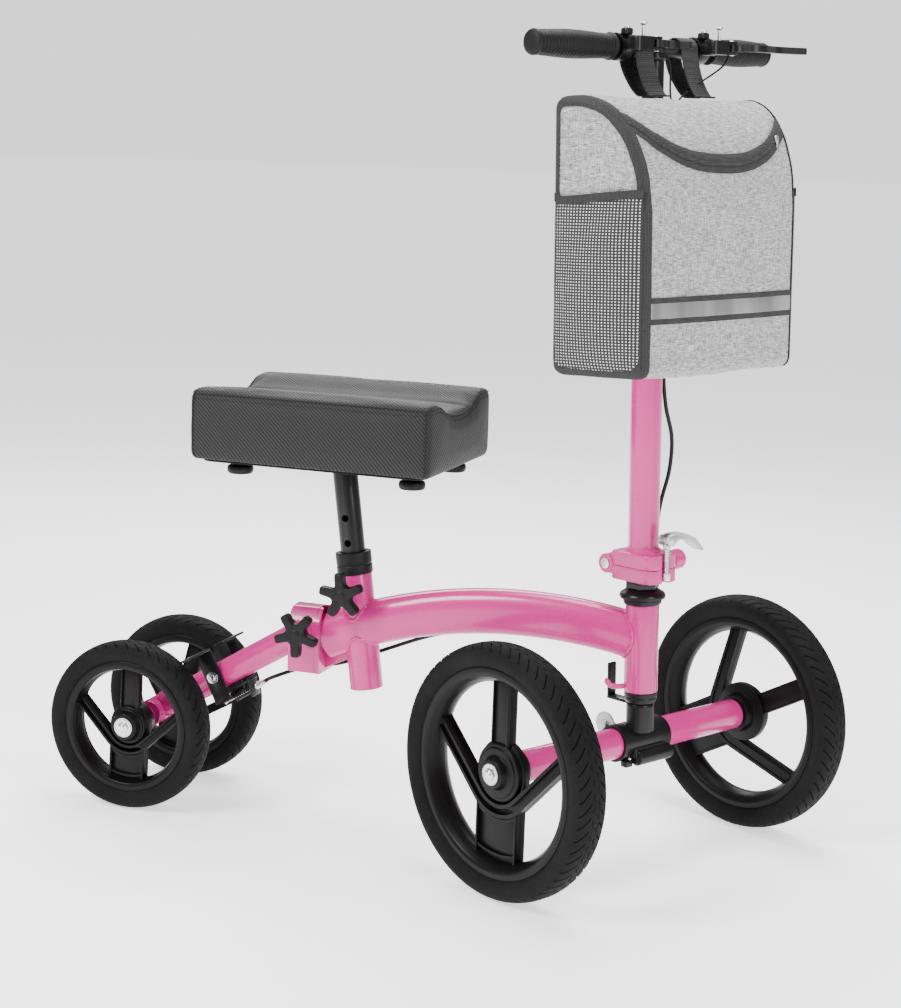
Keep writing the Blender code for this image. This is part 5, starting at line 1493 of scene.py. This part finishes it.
for tag, offset, wide, lift, thick, material in (
    ("zip_tape_low", -0.0060, 0.0075, 0.0008, 0.0010, BINDING),
    ("zip_coil", 0.0, 0.0045, 0.0010, 0.0018, WEBBING),
    ("zip_flap", 0.0062, 0.0085, 0.0014, 0.0016, BINDING),
):
    grid = []
    for r in range(4):
        row = []
        for k in range(97):
            across = -0.97 + 1.94 * k / 96
            z = zip_arc(across) + offset + wide * (r / 3 - 0.5)
            row.append(bag_point(arc_of(z), across, lift))
        grid.append(row)
    band(f"bag_{tag}", grid, thick, material)
bm = bmesh.new()
pull_at = bag_point(arc_of(zip_arc(0.80)), 0.80, 0.0035)
block(bm, (0.0030, 0.0060, 0.0080), Tr(pull_at), 0.0010)
block(bm, (0.0016, 0.0045, 0.0230), Tr(pull_at + Vector((0.0022, 0.0, -0.0140))), 0.0007)
piece("zip_pull", bm, STEER, ZINC, "handlebar")

# ---------------------------------------------------------------- straps round the bar
for tag, low, high in (("right", -0.0455, -0.0155), ("left", 0.0330, 0.0620)):
    path = [(0.0425, 0.9262), (0.0350, 0.9275), (0.0255, 0.9400), (0.0180, 0.9570), (0.0142, 0.9720)]
    for k in range(25):
        a = math.radians(-8 + 196 * k / 24)
        path.append((0.0131 * math.cos(a), BAR_Z + 0.0131 * math.sin(a)))
    path += [(-0.0122, 0.9700), (-0.0060, 0.9540), (0.0050, 0.9380), (0.0140, 0.9290), (0.0190, 0.9262)]
    path = smooth_path([(x, (low + high) / 2, z) for x, z in path], 110)
    bm = bmesh.new()
    sweep(bm, path, ribbon(high - low - 0.0010, 0.0020), (0, 1, 0))
    piece(f"{tag}_strap_loop", bm, STEER, WEBBING, "handlebar", [f"{tag}_bag_strap"], crease=50)

# ---------------------------------------------------------------- brake cable and wires
UPPER = [(0.0170, 0.0200, 0.8980), (0.0110, 0.0270, 0.8500), (0.0050, 0.0290, 0.7800),
         (0.0020, 0.0290, 0.7000), (0.0010, 0.0280, 0.6100), (0.0010, 0.0330, 0.5650),
         (0.0010, 0.0450, 0.5250), (-0.0020, 0.0455, 0.4850), (-0.0080, 0.0380, 0.4450),
         (-0.0120, 0.0360, 0.4100), (-0.0140, 0.0370, 0.3515)]
LOWER = [(0.6380, 0.0460, 0.3150), (0.5950, 0.0310, 0.2900), (0.5200, 0.0265, 0.2800),
         (0.4500, 0.0270, 0.2650), (0.3800, 0.0270, 0.2500), (0.3000, 0.0300, 0.2170),
         (0.2500, 0.0320, 0.1960), (0.2000, 0.0270, 0.1850)]
CABLE_RADIUS = 0.0025
wired("cable_housing_upper", smooth_path(UPPER, 180), CABLE_RADIUS, STEER, CABLE_SKIN, "column",
      ["cable_upper"], 16)
to_scooter = SCOOTER.inverted()
route = [to_scooter @ STEER @ Vector((-0.0140, 0.0370, 0.3500))] + [Vector(p) for p in LOWER]
route += [to_scooter @ WIRE @ Vector((0, 0, 0.0330)), to_scooter @ WIRE @ Vector((0, 0, 0.0185))]
route = smooth_path(route, 260)
wired("cable_housing_lower", route, CABLE_RADIUS, SCOOTER, CABLE_SKIN, "frame", ["cable_lower"], 16)
wired("cable_ferrule", [route[-8], route[-1]], 0.0031, SCOOTER, ZINC, "frame", (), 20)
# Two inner wires run from the levers to a joiner above the housing.
for tag, start in (("right", (0.0300, -0.0200, 0.9850)), ("left", (0.0290, 0.1010, 0.9820))):
    wire = [start, (0.0300, start[1] * 0.75 + 0.010, 0.9620),
            (0.0220, 0.0300 if tag == "left" else 0.0060, 0.9300),
            (0.0165, 0.0180, 0.9080)]
    wired(f"{tag}_inner_wire", smooth_path(wire, 60), 0.0012, STEER, CABLE_SKIN, "handlebar", (), 10)
turned("cable_joiner",
       [(0, 0.0100), (0.0040, 0.0100), (0.0046, 0.0070), (0.0046, -0.0040), (0.0034, -0.0070), (0, -0.0070)],
       STEER @ Tr((0.0168, 0.0192, 0.9030)), KNOB_PLASTIC, "handlebar", (), 28, False, 0.0006)

# ---------------------------------------------------------------- floor, light and camera
FLOOR_RADIUS = 60.0
floor_look = Look("studio_floor", (0.94, 0.94, 0.942), 0.6)
floor_look.set("Emission Color", (1, 1, 1, 1))
floor_look.set("Emission Strength", 1.10)
floor_look.colour(floor_look.ramp(floor_look.noise(3, 3),
                                  [(0.3, (0.93, 0.93, 0.932)), (0.7, (0.96, 0.96, 0.96))]))
bm = bmesh.new()
bm.faces.new([bm.verts.new((x, y, 0)) for x, y in circle(FLOOR_RADIUS, 72)])
mesh = bpy.data.meshes.new("floor")
bm.to_mesh(mesh)
bm.free()
mesh.materials.append(floor_look.material)
mesh.shade_smooth()
floor = bpy.data.objects.new("floor", mesh)
bpy.context.scene.collection.objects.link(floor)
floor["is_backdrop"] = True


def area_light(name, spot, aim, size, power, tint=(1, 1, 1)):
    """A rectangular lamp at a spot, aimed at a point."""
    data = bpy.data.lights.new(name, "AREA")
    data.shape = "RECTANGLE"
    data.size, data.size_y = size
    data.energy = power
    data.color = tint
    obj = bpy.data.objects.new(name, data)
    obj.location = spot
    obj.rotation_euler = (Vector(aim) - Vector(spot)).to_track_quat("-Z", "Y").to_euler()
    bpy.context.scene.collection.objects.link(obj)


area_light("key_light", (-1.6, -2.2, 2.6), (0, 0, 0.4), (1.2, 1.2), 150, (1.0, 0.995, 0.98))
area_light("fill_light", (2.6, -1.4, 1.5), (0, 0, 0.4), (0.8, 1.8), 60)
area_light("top_light", (0.2, 0.4, 3.0), (0, 0, 0.3), (1.8, 1.4), 110)
area_light("back_light", (-1.0, 2.0, 1.9), (0, 0, 0.6), (1.6, 0.8), 50)
world = bpy.data.worlds.new("studio")
world.use_nodes = True
nodes, links = world.node_tree.nodes, world.node_tree.links
ambient = nodes["Background"]
seen = nodes.new("ShaderNodeBackground")
either = nodes.new("ShaderNodeMixShader")
ray = nodes.new("ShaderNodeLightPath")
for backdrop, strength in ((ambient, 0.45), (seen, 1.45)):
    backdrop.inputs["Color"].default_value = (1, 1, 1, 1)
    backdrop.inputs["Strength"].default_value = strength
links.new(ray.outputs["Is Camera Ray"], either.inputs[0])
links.new(ambient.outputs[0], either.inputs[1])
links.new(seen.outputs[0], either.inputs[2])
links.new(either.outputs[0], nodes["World Output"].inputs["Surface"])
bpy.context.scene.world = world

camera = bpy.data.cameras.new("camera")
camera.lens = 70.83
camera.sensor_width = 36
camera_object = bpy.data.objects.new("camera", camera)
bpy.context.scene.collection.objects.link(camera_object)
yaw, pitch, roll = 0.3335, 0.1816, 0.0342
spot = Vector((1.1943 - MX, -2.2872 - MY, 0.8695))
view = Vector((-math.sin(yaw) * math.cos(pitch), math.cos(yaw) * math.cos(pitch), -math.sin(pitch)))
right = view.cross(Vector((0, 0, 1))).normalized()
over = right.cross(view)
tilted = math.cos(roll) * right + math.sin(roll) * over
upward = -math.sin(roll) * right + math.cos(roll) * over
camera_object.matrix_world = Matrix((
    (tilted.x, upward.x, -view.x, spot.x),
    (tilted.y, upward.y, -view.y, spot.y),
    (tilted.z, upward.z, -view.z, spot.z),
    (0, 0, 0, 1),
))
bpy.context.scene.camera = camera_object


# ---------------------------------------------------------------- size and finish
def plain(bounds):
    """Bounds as plain lists, which json can write."""
    if isinstance(bounds, dict):
        return {key: plain(value) for key, value in bounds.items()}
    return [plain(value) if hasattr(value, "__len__") else float(value) for value in bounds]


{"cad": plain(CAD_BOUNDS), "visual": plain(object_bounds())}
